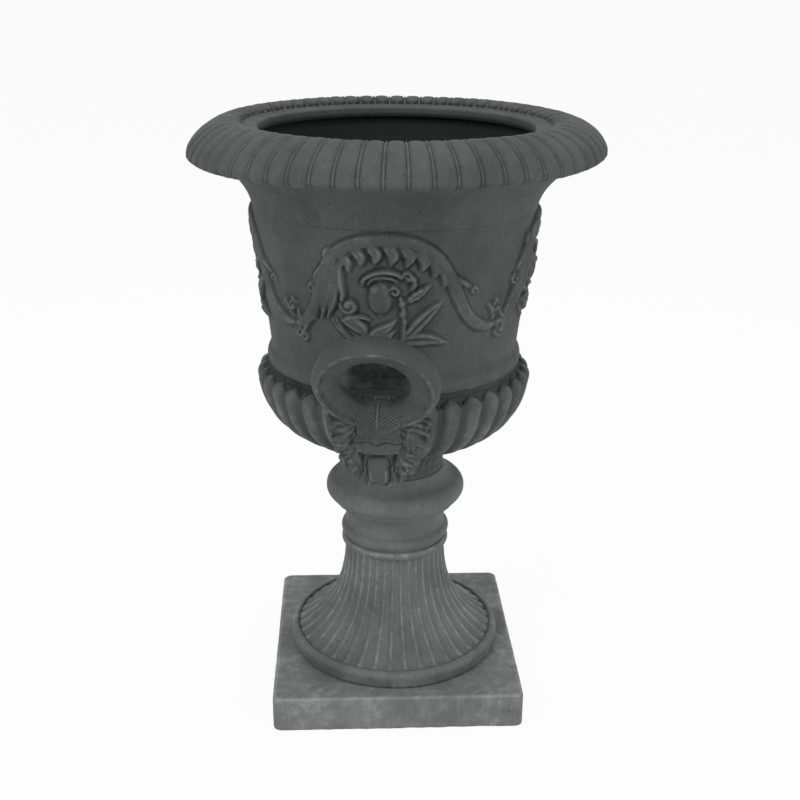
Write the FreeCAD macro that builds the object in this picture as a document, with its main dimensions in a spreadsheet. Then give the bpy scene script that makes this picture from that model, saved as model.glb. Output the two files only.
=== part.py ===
import FreeCAD, Part

import math
import os
import re

import Sketcher
from FreeCAD import Placement, Rotation, Vector

# Garden urn planter on a square plinth, in millimetres.
# Origin: centre of the underside of the plinth. +Z is up and -Y is the front.
# The plinth, the pedestal and the bowl are separate hollow castings, bedded on each other and
# clamped by one tie rod on the axis. A beast's mask traps the foot of a leaning ring handle on
# the front of the bowl, and a second pair does the same on the back.

# ---------------------------------------------------------------- driving dimensions
SIZES = [
    # plinth
    ("plinth_width", 264, "side of the square plinth"),
    ("plinth_height", 38, "thickness of the plinth"),
    ("plinth_corner", 8, "radius of the plinth's upright corners"),
    ("plinth_edge", 3, "radius of the plinth's top edge"),
    ("plinth_wall", 18, "wall round the plinth's hollow underside"),
    ("plinth_deck", 14, "thickness of the plinth's top"),
    # beds and fixings
    ("bed_thickness", 1.5, "mortar bed under the pedestal and under the bowl"),
    ("foot_bed_width", 14, "width of the ring of mortar under the pedestal"),
    ("foot_bed_recess", 6, "mortar under the pedestal is held back from the disc's edge"),
    ("neck_bed_width", 12, "width of the ring of mortar under the bowl"),
    ("neck_bed_recess", 1, "mortar under the bowl is held back from the foot's edge"),
    ("rod_radius", 6, "tie rod"),
    ("rod_clearance", 0.5, "gap between the tie rod and its holes"),
    ("rod_proud", 5, "tie rod beyond its nuts"),
    ("nut_flats", 19, "tie nut across flats"),
    ("nut_height", 10, "tie nut"),
    ("washer_radius", 18, "tie washer"),
    ("washer_thickness", 3, "tie washer"),
    ("drain_radius", 7, "drain holes"),
    ("drain_circle", 28, "drain holes from the axis"),
    ("drain_count", 3, "drain holes in each casting"),
    # pedestal
    ("disc_radius", 116, "round disc at the pedestal's foot"),
    ("disc_chamfer", 2, "lower edge of the disc"),
    ("disc_side", 10.5, "height of the disc's upright side"),
    ("disc_roll", 6.5, "roll over the disc's top edge"),
    ("disc_roll_curve", 6.8, "radius of that roll"),
    ("flare_foot_radius", 107, "fluted flare where it springs from the disc"),
    ("flare_foot_level", 15.5, "fluted flare where it springs from the disc"),
    ("flare_valley", 1.5, "flat valley between the flare and the disc's lip"),
    ("flare_foot_run", 27, "how far the flare rises from the disc on a slope"),
    ("flare_foot_slide", 20, "how far it comes in over that rise"),
    ("flare_stem_run", 60, "how far the flare runs straight down the stem"),
    ("flute_count", 40, "flutes round the flare"),
    ("flute_depth", 2.6, "depth of a flute"),
    ("stem_radius", 54.2, "stem"),
    ("stem_level", 121, "top of the flutes, under the stem's ring"),
    ("astragal_height", 22, "height of the stem's ring with its fillets"),
    ("astragal_fillet", 3.5, "height of the fillets above and below the ring"),
    ("astragal_step", 1.8, "fillets of the stem's ring stand proud of the stem"),
    ("astragal_curve", 12, "radius of the ring's rounded face"),
    ("knop_root_radius", 66.5, "knop where it springs from the stem"),
    ("knop_level", 174.3, "underside of the knop"),
    ("knop_height", 23, "height of the knop"),
    ("knop_curve", 12.2, "radius of the knop's rounded face"),
    ("throat_curve", 26, "radius of the hollow under the knop"),
    ("neck_radius", 51.5, "top of the pedestal"),
    ("pedestal_height", 211, "pedestal from bed to bed"),
    ("pedestal_wall", 15, "wall of the pedestal"),
    ("pedestal_hollow_curve", 120, "radius of the hollow inside the flare"),
    ("pedestal_deck", 18, "top of the pedestal"),
    # bowl
    ("bowl_foot_radius", 51.4, "foot of the bowl"),
    ("bowl_foot_height", 6, "plain foot under the gadroons"),
    ("bowl_foot_step", 0.6, "gadroons spring this far inside the foot"),
    ("gadroon_count", 36, "gadroons round the bowl"),
    ("gadroon_height", 5.8, "gadroons stand proud of their grooves"),
    ("gadroon_spring", 39, "how far the gadroons rise straight from the foot"),
    ("gadroon_spread", 4, "how far they spread over that rise"),
    ("bulge_radius", 141.8, "bowl's widest place below the wall"),
    ("bulge_level", 103, "height of the widest place"),
    ("bulge_lean", 11.7, "how far the gadroons lean in below the widest place"),
    ("bulge_run", 76, "height over which they lean in"),
    ("gadroon_brow_radius", 137.2, "brow of the gadroons, over the widest place"),
    ("gadroon_brow_level", 111, "brow of the gadroons"),
    ("gadroon_top", 115, "top of the gadroons"),
    ("gadroon_top_radius", 129.5, "top of the gadroons"),
    ("bead_recess", 1.5, "recess between the gadroons and the fillet"),
    ("bead_radius", 129, "fillet at the foot of the wall"),
    ("bead_level", 121, "underside of the fillet"),
    ("bead_height", 14, "height of the fillet"),
    ("bead_edge", 1, "fillet's rounded face stops this far from its edges"),
    ("bead_curve", 14, "radius of the fillet's face and of the hollow above it"),
    ("wall_foot_radius", 126, "outside of the wall at its foot"),
    ("wall_foot_level", 139, "foot of the wall"),
    ("wall_top_radius", 141.5, "outside of the wall at its top"),
    ("wall_top_level", 282, "top of the wall"),
    ("cavetto_curve", 62, "radius of the hollow moulding under the rim"),
    ("rim_under_radius", 184, "where the hollow moulding meets the rim"),
    ("rim_under_level", 327, "where the hollow moulding meets the rim"),
    ("rim_under_step", 1, "the moulding meets the rim's underside this far in"),
    ("rim_radius", 206.5, "outer edge of the rim"),
    ("rim_edge_level", 335, "level of the rim's outer edge"),
    ("rim_edge_drop", 5.5, "rolled edge hangs below that level"),
    ("rim_edge_run", 13, "how far the rim rises steeply from its edge"),
    ("rim_edge_lean", 2, "how far it comes in over that rise"),
    ("rim_crown_run", 30, "how far the rim runs flat at its top"),
    ("rim_crown_radius", 153, "highest place of the rim's tongues"),
    ("rim_level", 366, "top of the tongues"),
    ("tongue_end_run", 4.5, "inner ends of the tongues reach in past their crown"),
    ("tongue_count", 60, "tongues round the rim"),
    ("tongue_height", 3.2, "tongues stand proud of their grooves"),
    ("mouth_radius", 135, "mouth of the bowl"),
    ("mouth_band_radius", 147.5, "plain band round the mouth"),
    ("lip_height", 16, "plain lip inside the mouth"),
    ("lip_step", 4.5, "the plain band lies below the tops of the tongues"),
    ("lip_slope", 2, "chamfer under the lip"),
    ("undercut", 8, "hollow behind the lip"),
    ("undercut_level", 318, "lower edge of that hollow"),
    ("bowl_wall", 12.5, "wall of the bowl"),
    ("bowl_floor", 25, "floor of the bowl"),
    ("bowl_floor_radius", 46, "flat floor of the bowl"),
    ("bowl_floor_run", 29, "how far the inside leaves the floor on a slope"),
    ("bowl_side_run", 64, "how far the inside drops straight below the wall"),
    ("bowl_turn", -8.5, "bowl, masks and rings turned on the pedestal, in degrees"),
    # frieze
    ("stem_middle_level", 229, "middle level of the frieze's waving stem"),
    ("stem_rise", 50, "the stem rises and falls by this"),
    ("stem_lean", 5, "the sides of its arches lean out by this, in degrees"),
    ("stem_half_width", 5, "half the width of the stem"),
    ("stem_proud", 6, "the stem stands proud of the wall"),
    ("frieze_sink", 2, "the relief is rooted this deep in the wall"),
    # ring handles
    ("ring_radius", 46, "centre line of a ring handle"),
    ("ring_thickness", 26, "ring handle's stock"),
    ("ring_round", 16, "radius of the ring's rounded faces"),
    ("ring_flat", 4.3, "half the width of the flats inside and behind the ring"),
    ("ring_band", 6.5, "the ring's rounded outer band starts this far outside its centre line"),
    ("ring_band_curve", 12, "radius of that band's face"),
    ("ring_seam", 1.2, "raised seam between the band and the ring's funnelled inside"),
    ("ring_lean", 35, "ring leans out from upright, in degrees"),
    ("ring_opening", 26, "ring stops this far each side of its foot, in degrees"),
    ("ring_foot_reach", 150, "centre of the ring's stock at its foot, from the axis"),
    ("ring_foot_level", 108, "centre of the ring's stock at its foot"),
    # masks
    ("seat_gap", 0.3, "gap between a fitted casting and the bowl"),
    ("seat_bead_room", 1.5, "seats clear the rounded face of the bowl's fillet by this"),
    ("mane_half_width", 48, "mane"),
    ("mane_level", 100, "widest level of the mane"),
    ("mane_below", 66, "mane below its widest level"),
    ("mane_above", 30, "mane above its widest level"),
    ("mane_reach", 149, "face of the mane from the axis"),
    ("mane_edge", 9, "the mane's lower end comes in by this"),
    ("mane_curve", 198, "radius of the mane's rounded face"),
    ("mane_root", 104, "how far in the mane's underside slopes"),
    ("mane_locks", 18, "locks of the mane"),
    ("mane_scallop", 2.4, "depth of the notches between the locks"),
    ("stud_radius", 3, "mask stud"),
    ("stud_gap", 0.5, "gap between a stud and its hole in the bowl"),
    ("stud_low_level", 66, "lower stud"),
    ("stud_high_level", 86, "upper stud"),
    ("stud_bite", 16, "length of stud in the mask"),
    ("stud_nut_flats", 10, "stud nut across flats"),
    ("stud_nut_height", 5, "stud nut"),
    ("stud_washer_radius", 6.5, "stud washer"),
    ("stud_washer_thickness", 1.6, "stud washer"),
    ("stud_proud", 2, "stud beyond its nut"),
    ("spotface_margin", 1, "spotface round a stud washer"),
    ("spotface_depth", 0.5, "spotface under a stud washer"),
    ("spotface_tool", 40, "length of the tool that cuts a spotface from inside"),
]

doc = FreeCAD.newDocument("UrnPlanter")
sheet = doc.addObject("Spreadsheet::Sheet", "sizes")
for row, (alias, number, note) in enumerate(SIZES, start=1):
    sheet.set(f"A{row}", note)
    sheet.set(f"B{row}", str(number))
    sheet.setAlias(f"B{row}", alias)
doc.recompute()

ALIASES = {alias for alias, number, note in SIZES}
FULL_TURN = 360
NORMAL_Z = Vector(0, 0, 1)
LOBE_SHOULDER = 0.27        # a lobe's crown starts this share of its pitch from the groove
CURVE_CHECKS = 24           # steps along a curve when a point is looked up on it
INSIDE_STEPS = 8            # flats that the inside of the bowl is turned with below its wall

# the depth of the flutes, from the disc up to the stem
FLUTE_FADE = (0, 1, 1, 1, 0.9, 0.75, 0.5, 0)
# the height of the gadroons, from the bowl's foot to the widest place
GADROON_GROWTH = (0, 0.25, 0.55, 0.8, 1, 1, 1)
GADROON_BROW = 0.7
# the height of the tongues: under the rim, round its edge, and in to the mouth
TONGUE_UNDER = (0, 0.6, 0.9)
TONGUE_FADE = (1, 1, 1, 1)
FRIEZE_REPEATS = 4
ARCH_ANGLE = -7             # angle of the first arch's top from the front, in degrees
FRIEZE_STEPS = 14           # lengths of stem in one repeat
FRIEZE_CREST = 0.45         # half width of the crest of the relief, as a share of its foot's
LEAF_SHAPE = (0.35, 0.9, 1, 0.75, 0.25)     # half width along a leaf
LEAF_PROUD = (0.5, 0.9, 1, 0.85, 0.4)       # height along a leaf
# a mask's face from the chin up to the forehead: level, half width, and the reach from the
# axis at equal steps from the middle to the side
FACE = (
    (40, 12, 147, 147, 146.5, 146, 144, 141),
    (45, 13, 152, 152, 151.5, 150, 146, 143),
    (56, 15, 157, 157, 156, 153, 147, 144),
    (70, 18, 160, 160, 158.5, 153, 148, 146),
    (74, 20, 157, 157, 156, 152, 150, 147),
    (76, 22.5, 164, 164, 163.5, 162.5, 160, 150),
    (84, 23.5, 166.5, 166.5, 166, 165, 162, 151),
    (91, 23.5, 166, 166.5, 166.5, 165, 161, 151),
    (94, 23, 170, 167.5, 164.5, 162, 158, 151),
    (102, 23, 168, 165.5, 163, 160.5, 157, 150),
    (110, 23, 164, 162, 160, 158, 155, 149),
    (117, 22.5, 159.5, 158, 156.5, 155, 152.5, 148),
    (122, 21, 154, 153.5, 152.5, 151, 149, 145),
    (127, 20, 146, 146, 145.5, 144.5, 143, 140),
    (132, 17, 136, 136, 136, 135.5, 135, 133.5),
)
# what one repeat of the frieze has beside its stem. Each is a leaf or a knob: angle and level
# of its base, of its middle and of its tip, its half width and how far it stands proud
FRIEZE = (
    ("sheath", (-38, 196), (-36, 228), (-29, 262), 8, 7),
    ("inner_sheath", (-33, 200), (-28, 222), (-27, 250), 6, 6),
    ("volute", (-27, 212), (-22, 214), (-17, 212), 10, 5.5),
    ("arch_leaf_1", (-21, 272), (-17, 262), (-13, 256), 5.5, 6),
    ("arch_leaf_2", (-11, 276), (-8, 265), (-5, 257), 6, 6),
    ("arch_leaf_3", (0, 274), (2, 263), (2, 252), 6, 6),
    ("arch_leaf_4", (10, 264), (9, 254), (6, 244), 5.5, 6),
    ("flower", (-17, 222), (-10, 224), (-3, 222), 11, 8),
    ("hood", (-21, 232), (-10, 250), (1, 236), 4, 7),
    ("bud", (-20, 184), (-15, 193), (-11, 200), 6, 6),
    ("stalk", (-2, 176), (3, 200), (9, 232), 3.5, 5),
    ("long_leaf", (0, 178), (8, 196), (16, 214), 7, 6),
    ("lens_leaf", (-1, 173), (10, 177), (20, 168), 7, 6.5),
    ("knot", (-58, 176), (-52, 180), (-46, 176), 7, 6),
    ("curl_left", (-50, 192), (-46, 200), (-44, 210), 6, 5),
    ("curl_right", (38, 198), (42, 212), (41, 226), 6, 5),
)


# ---------------------------------------------------------------- helpers
def bound(text):
    """The expression with each dimension's name pointed at the sheet."""
    return re.sub(r"[a-z_]+", lambda word: f"sizes.{word.group()}" if word.group() in ALIASES
                  else word.group(), text)


def size(text):
    """The number that an expression of dimension names has now."""
    return float(sheet.evalExpression(bound(text)))


def added(*terms):
    """An expression that adds up its terms."""
    return " + ".join(terms)


def bulged_edge(start, end, radius):
    """An arc of the given radius between two points, drawn anticlockwise as sketches need it.
    A positive radius bulges to the right of the way from start to end."""
    chord = end - start
    half = chord.Length / 2
    side = Vector(chord.y, -chord.x, 0).normalize()
    rise = abs(radius) - math.sqrt(radius * radius - half * half)
    if radius > 0:
        return Part.Arc(start, (start + end) * 0.5 + side * rise, end)
    return Part.Arc(end, (start + end) * 0.5 - side * rise, start)


def outline(body, name, corners):
    """A closed sketch in the upright plane of a body: its corners are (across, up) expressions,
    with a third one, the radius of the arc that leads to the corner, where its side is round."""
    sketch = body.newObject("Sketcher::SketchObject", name)
    upright = [item for item in body.Origin.OriginFeatures if item.Role == "XZ_Plane"][0]
    sketch.AttachmentSupport = [(upright, "")]
    sketch.MapMode = "FlatFace"
    points = [Vector(size(corner[0]), size(corner[1]), 0) for corner in corners]
    last_end = {}
    for index, corner in enumerate(corners):
        start, end = points[index - 1], points[index]
        if len(corner) == 2:
            sketch.addGeometry(Part.LineSegment(start, end))
            first, second = 1, 2
        else:
            radius = size(corner[2])
            sketch.addGeometry(bulged_edge(start, end, radius))
            first, second = (1, 2) if radius > 0 else (2, 1)
        last_end[index] = (first, second)
    for index, corner in enumerate(corners):
        after = (index + 1) % len(corners)
        here = last_end[index][1]
        sketch.addConstraint(Sketcher.Constraint("Coincident", index, here, after,
                                                 last_end[after][0]))
        for kind, expression, number in (("DistanceX", corner[0], points[index].x),
                                         ("DistanceY", corner[1], points[index].y)):
            row = sketch.addConstraint(Sketcher.Constraint(kind, -1, 1, index, here, number))
            sketch.setExpression(f"Constraints[{row}]", bound(expression))
        if len(corner) == 3:
            row = sketch.addConstraint(Sketcher.Constraint("Radius", index,
                                                           abs(size(corner[2]))))
            sketch.setExpression(f"Constraints[{row}]", f"abs({bound(corner[2])})")
    return sketch


def turned(name, corners):
    """A body turned about the upright axis from an outline."""
    body = doc.addObject("PartDesign::Body", name)
    sketch = outline(body, f"{name}_outline", corners)
    revolution = body.newObject("PartDesign::Revolution", f"{name}_turning")
    revolution.Profile = sketch
    revolution.ReferenceAxis = (sketch, ["V_Axis"])
    revolution.Angle = FULL_TURN
    doc.recompute()
    return body


def bezier(start, leave, arrive, end, steps):
    """Points along a curve from start to end that leaves towards one point and arrives from
    another, without its first point."""
    points = []
    for step in range(1, steps + 1):
        t = step / steps
        weights = ((1 - t) ** 3, 3 * t * (1 - t) ** 2, 3 * t * t * (1 - t), t ** 3)
        across = sum(w * p[0] for w, p in zip(weights, (start, leave, arrive, end)))
        up = sum(w * p[1] for w, p in zip(weights, (start, leave, arrive, end)))
        points.append((across, up))
    return points


def level_crossing(points, level):
    """The radius of a line of (radius, level) points where it passes a level."""
    for (low_radius, low), (high_radius, high) in zip(points, points[1:]):
        if low <= level <= high:
            return low_radius + (high_radius - low_radius) * (level - low) / (high - low)
    raise ValueError("the level is off the line")


def polygon_feature(name, points):
    """A closed line through points, as a section for a loft."""
    section = doc.addObject("Part::Feature", name)
    section.Shape = Part.makePolygon(points + points[:1])
    return section


def lobed_ring(station, ahead, behind, count, hollow):
    """One closed section round the axis. A station is (radius, level, lobe height): the lobes
    rise from their grooves square to the line from the station behind to the one ahead."""
    radius, level, height = station
    along = Vector(ahead[0] - behind[0], 0, ahead[1] - behind[1]).normalize()
    outward = Vector(along.z, 0, -along.x)
    drop_at_groove, drop_at_crown = (0, height) if hollow else (height, 0)
    points = []
    for lobe in range(count):
        for share in (0, LOBE_SHOULDER, 1 - LOBE_SHOULDER):
            drop = drop_at_groove if share == 0 else drop_at_crown
            across = radius - drop * outward.x
            angle = 2 * math.pi * (lobe + share) / count
            points.append(Vector(across * math.cos(angle), across * math.sin(angle),
                                 level - drop * outward.z))
    return points


def lobed(name, stations, count, hollow=False):
    """A solid whose skin runs through lobed sections from the lowest station to the highest."""
    sections = []
    for index, station in enumerate(stations):
        behind = stations[max(index - 1, 0)]
        ahead = stations[min(index + 1, len(stations) - 1)]
        ring = lobed_ring(station, ahead, behind, count, hollow)
        sections.append(polygon_feature(f"{name}_section_{index + 1}", ring))
    loft = doc.addObject("Part::Loft", name)
    loft.Sections = sections
    loft.Solid = True
    loft.Ruled = True
    return loft


def united(name, *pieces):
    """Several solids made one."""
    whole = doc.addObject("Part::MultiFuse", name)
    whole.Shapes = list(pieces)
    whole.Refine = False
    return whole


def less(name, base, *tools):
    """A solid with others taken out of it."""
    tool = tools[0] if len(tools) == 1 else united(f"{name}_tools", *tools)
    cut = doc.addObject("Part::Cut", name)
    cut.Base = base
    cut.Tool = tool
    cut.Refine = False
    return cut


def rod(name, radius, length, level, across="0", angle=None):
    """An upright round bar: its radius, length, lower end and distance from the axis are
    expressions. With an angle it stands that many degrees round the axis."""
    bar = doc.addObject("Part::Cylinder", name)
    bar.setExpression("Radius", bound(radius))
    bar.setExpression("Height", bound(length))
    bar.setExpression("Placement.Base.z", bound(level))
    if angle is not None:
        bar.setExpression("Placement.Base.x", f"({bound(across)}) * cos({angle})")
        bar.setExpression("Placement.Base.y", f"({bound(across)}) * sin({angle})")
    return bar


def hexagon(name, flats, height, level):
    """An upright hexagonal nut blank."""
    blank = doc.addObject("Part::Prism", name)
    blank.Polygon = 6
    blank.setExpression("Circumradius", f"({bound(flats)}) / sqrt(3)")
    blank.setExpression("Height", bound(height))
    blank.setExpression("Placement.Base.z", bound(level))
    return blank


def drains(name, length, level):
    """The drain holes of one casting."""
    count = int(size("drain_count"))
    return [rod(f"{name}_{index + 1}", "drain_radius", length, level, "drain_circle",
                FULL_TURN * index / count) for index in range(count)]


def finished(piece, label, level=None, turn=None):
    """Names a finished sub-part and puts it in its place."""
    piece.Label = label
    if level is not None:
        piece.setExpression("Placement.Base.z", bound(level))
    if turn is not None:
        piece.setExpression("Placement.Rotation.Angle", bound(turn))
    SUB_PARTS.append(piece)
    return piece


SUB_PARTS = []
PEDESTAL_BASE = "plinth_height + bed_thickness"
BOWL_BASE = added(PEDESTAL_BASE, "pedestal_height", "bed_thickness")
ROD_HOLE = "rod_radius + rod_clearance"


# ---------------------------------------------------------------- plinth
def make_plinth():
    body = doc.addObject("PartDesign::Body", "slab")
    square = body.newObject("Sketcher::SketchObject", "slab_square")
    ground = [item for item in body.Origin.OriginFeatures if item.Role == "XY_Plane"][0]
    square.AttachmentSupport = [(ground, "")]
    square.MapMode = "FlatFace"
    half = size("plinth_width / 2")
    corners = [Vector(-half, -half, 0), Vector(half, -half, 0), Vector(half, half, 0),
               Vector(-half, half, 0)]
    for index in range(4):
        square.addGeometry(Part.LineSegment(corners[index], corners[(index + 1) % 4]))
    for index in range(4):
        square.addConstraint(Sketcher.Constraint("Coincident", index, 2, (index + 1) % 4, 1))
        kind = "Horizontal" if index % 2 == 0 else "Vertical"
        square.addConstraint(Sketcher.Constraint(kind, index))
    square.addConstraint(Sketcher.Constraint("Symmetric", 0, 1, 1, 2, -1, 1))
    for index in range(2):
        row = square.addConstraint(Sketcher.Constraint("Distance", index, 2 * half))
        square.setExpression(f"Constraints[{row}]", "sizes.plinth_width")
    pad = body.newObject("PartDesign::Pad", "slab_pad")
    pad.Profile = square
    pad.setExpression("Length", "sizes.plinth_height")
    doc.recompute()

    upright = [f"Edge{n + 1}" for n, edge in enumerate(pad.Shape.Edges)
               if abs(edge.tangentAt(edge.FirstParameter).z) > 0.99]
    rounded = body.newObject("PartDesign::Fillet", "slab_corners")
    rounded.Base = (pad, upright)
    rounded.setExpression("Radius", "sizes.plinth_corner")
    doc.recompute()
    top = [f"Edge{n + 1}" for n, edge in enumerate(rounded.Shape.Edges)
           if abs(edge.BoundBox.ZMin - size("plinth_height")) < 1e-6]
    eased = body.newObject("PartDesign::Fillet", "slab_top_edge")
    eased.Base = (rounded, top)
    eased.setExpression("Radius", "sizes.plinth_edge")
    doc.recompute()

    hollow = doc.addObject("Part::Box", "slab_hollow")
    for side in ("Length", "Width"):
        hollow.setExpression(side, "sizes.plinth_width - 2 * sizes.plinth_wall")
    hollow.setExpression("Height", "sizes.plinth_height - sizes.plinth_deck")
    for axis in ("x", "y"):
        hollow.setExpression(f"Placement.Base.{axis}",
                             "sizes.plinth_wall - sizes.plinth_width / 2")
    centre = rod("slab_centre_hole", ROD_HOLE, "plinth_height", "0")
    return less("plinth", body, hollow, centre, *drains("slab_drain", "plinth_height", "0"))


# ---------------------------------------------------------------- pedestal
def flare_stations():
    """The fluted flare, from the disc up to the stem."""
    foot = (size("flare_foot_radius"), size("flare_foot_level"))
    stem = (size("stem_radius"), size("stem_level"))
    run = size("flare_foot_run")
    leave = (foot[0] - size("flare_foot_slide"), foot[1] + run)
    arrive = (stem[0], stem[1] - size("flare_stem_run"))
    line = [foot] + bezier(foot, leave, arrive, stem, len(FLUTE_FADE) - 1)
    depth = size("flute_depth")
    return [(r, z, fade * depth) for (r, z), fade in zip(line, FLUTE_FADE)]


def make_pedestal():
    flare = lobed("flare", flare_stations(), int(size("flute_count")), hollow=True)
    foot_disc = turned("foot_disc", [
        ("0", "0"),
        ("disc_radius - disc_chamfer", "0"),
        ("disc_radius", "disc_chamfer"),
        ("disc_radius", "disc_side"),
        ("disc_radius - disc_roll", "disc_side + disc_roll", "disc_roll_curve"),
        ("flare_foot_radius + flare_valley", "flare_foot_level"),
        ("0", "flare_foot_level"),
    ])
    ring_low = "stem_level + astragal_fillet"
    ring_high = "stem_level + astragal_height - astragal_fillet"
    step = "stem_radius + astragal_step"
    knop_top = "knop_level + knop_height"
    stem = turned("stem", [
        ("0", "stem_level"),
        (step, "stem_level"),
        (step, ring_low),
        (step, ring_high, "astragal_curve"),
        (step, "stem_level + astragal_height"),
        ("stem_radius", "stem_level + astragal_height"),
        ("knop_root_radius", "knop_level", "-throat_curve"),
        ("knop_root_radius", knop_top, "knop_curve"),
        ("neck_radius", "pedestal_height", "-throat_curve"),
        ("0", "pedestal_height"),
    ])
    inside = "stem_radius - pedestal_wall"
    hollow = turned("pedestal_hollow", [
        ("0", "0"),
        ("flare_foot_radius - pedestal_wall", "0"),
        ("flare_foot_radius - pedestal_wall", "flare_foot_level"),
        (inside, "stem_level - flare_stem_run / 2", "-pedestal_hollow_curve"),
        (inside, "pedestal_height - pedestal_deck"),
        ("0", "pedestal_height - pedestal_deck"),
    ])
    centre = rod("pedestal_centre_hole", ROD_HOLE, "pedestal_height", "0")
    holes = drains("pedestal_drain", "pedestal_height", "0")
    return less("pedestal", united("pedestal_casting", foot_disc, flare, stem), hollow, centre,
                *holes)


# ---------------------------------------------------------------- bowl
def gadroon_line(steps):
    """The crests of the gadroons from the bowl's foot to its widest place."""
    foot = (size("bowl_foot_radius - bowl_foot_step"), size("bowl_foot_height"))
    bulge = (size("bulge_radius"), size("bulge_level"))
    leave = (foot[0] + size("gadroon_spread"), foot[1] + size("gadroon_spring"))
    arrive = (bulge[0] - size("bulge_lean"), bulge[1] - size("bulge_run"))
    return [foot] + bezier(foot, leave, arrive, bulge, steps)


def gadroon_stations():
    """The gadroons from the bowl's foot, over the widest place, to their rounded tops."""
    height = size("gadroon_height")
    line = gadroon_line(len(GADROON_GROWTH) - 1)
    stations = [(r, z, share * height) for (r, z), share in zip(line, GADROON_GROWTH)]
    stations.append((size("gadroon_brow_radius"), size("gadroon_brow_level"),
                     GADROON_BROW * height))
    stations.append((size("gadroon_top_radius"), size("gadroon_top"), 0))
    return stations


def rim_stations():
    """The rim from its underside round its rolled edge to the inner ends of the tongues."""
    height = size("tongue_height")
    under = (size("rim_under_radius"), size("rim_under_level"))
    edge = (size("rim_radius"), size("rim_edge_level"))
    hem = (edge[0] - size("rim_edge_drop"), edge[1] - size("rim_edge_drop"))
    crown = (size("rim_crown_radius"), size("rim_level"))
    leave = (edge[0] - size("rim_edge_lean"), edge[1] + size("rim_edge_run"))
    arrive = (crown[0] + size("rim_crown_run"), crown[1])
    line = [under, hem, edge] + bezier(edge, leave, arrive, crown, len(TONGUE_FADE))
    heights = [share * height for share in TONGUE_UNDER + TONGUE_FADE]
    end = (crown[0] - size("tongue_end_run"), crown[1] - size("lip_step"), 0)
    return [(r, z, h) for (r, z), h in zip(line, heights)] + [end]


def inside_line(steps):
    """The inside of the bowl from its floor to the foot of its wall."""
    floor = (size("bowl_floor_radius"), size("bowl_floor"))
    wall = (size("wall_foot_radius - bowl_wall"), size("wall_foot_level"))
    run = size("bowl_floor_run")
    leave = (floor[0] + run, floor[1] + run / 3)
    arrive = (wall[0], wall[1] - size("bowl_side_run"))
    return [floor] + bezier(floor, leave, arrive, wall, steps)


def pairs(points):
    """Numbers as the corners of an outline."""
    return [(f"{r:.4f}", f"{z:.4f}") for r, z in points]


def stud_seat(level):
    """How far from the axis a stud's washer bears on its spotface inside the bowl."""
    upper_edge = size(f"{level} + stud_washer_radius + spotface_margin")
    return level_crossing(inside_line(CURVE_CHECKS), upper_edge) + size("spotface_depth")


def stud_bar(name, radius, start, length, level, turn):
    """A round bar along the radius that points at a mask."""
    bar = doc.addObject("Part::Cylinder", name)
    bar.Radius = radius
    bar.Height = length
    place = Placement(Vector(0, -start, size(level)), Rotation(Vector(1, 0, 0), 90))
    bar.Placement = Placement(Vector(), Rotation(NORMAL_Z, turn)).multiply(place)
    return bar


def on_wall(angle, level, proud):
    """A point on the bowl's wall, or proud of it: its angle in degrees from the front."""
    share = (level - size("wall_foot_level")) / size("wall_top_level - wall_foot_level")
    radius = proud + size("wall_foot_radius") + share * size("wall_top_radius - wall_foot_radius")
    turn = math.radians(angle - size("bowl_turn"))
    return Vector(radius * math.sin(turn), -radius * math.cos(turn), level)


def carved(name, line, half_widths, heights):
    """A raised strip on the wall along a line of (angle, level) points. Each section is flat, a
    crest between two slopes, and its foot is sunk in the wall."""
    sink = size("frieze_sink")
    sections = []
    for index, here in enumerate(line):
        before, after = line[max(index - 1, 0)], line[min(index + 1, len(line) - 1)]
        foot = on_wall(*here, -sink)
        outward = Vector(foot.x, foot.y, 0).normalize()
        aside = outward.cross(on_wall(*after, 0) - on_wall(*before, 0)).normalize()
        aside.multiply(half_widths[index])
        crest = foot + outward * (heights[index] + sink)
        sections.append(polygon_feature(f"{name}_section_{index + 1}", [
            foot - aside, crest - aside * FRIEZE_CREST, crest + aside * FRIEZE_CREST,
            foot + aside]))
    loft = doc.addObject("Part::Loft", name)
    loft.Sections = sections
    loft.Solid = True
    loft.Ruled = True
    return loft


def make_frieze():
    """The relief round the wall: a stem that waves over an arch and down to a trough in each
    repeat, with the leaves and knobs of each repeat beside it."""
    pitch = FULL_TURN / FRIEZE_REPEATS
    pieces = []
    for repeat in range(FRIEZE_REPEATS):
        ahead = pitch * repeat
        line = []
        for step in range(FRIEZE_STEPS + 1):
            share = step / FRIEZE_STEPS - 0.5
            wave = 2 * math.pi * share
            angle = ARCH_ANGLE + ahead + pitch * share + size("stem_lean") * math.sin(wave)
            line.append((angle, size("stem_middle_level") + size("stem_rise") * math.cos(wave)))
        pieces.append(carved(f"stem_{repeat + 1}", line, [size("stem_half_width")] * len(line),
                             [size("stem_proud")] * len(line)))
        for name, base, middle, tip, width, proud in FRIEZE:
            curve = [(angle + ahead, level) for angle, level in
                     [base] + bezier(base, middle, middle, tip, len(LEAF_SHAPE) - 1)]
            pieces.append(carved(f"{name}_{repeat + 1}", curve,
                                 [share * width for share in LEAF_SHAPE],
                                 [share * proud for share in LEAF_PROUD]))
    return united("frieze", *pieces)


STUD_LEVELS = ("stud_low_level", "stud_high_level")
SIDES = (("front", 0), ("rear", 180))


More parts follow.
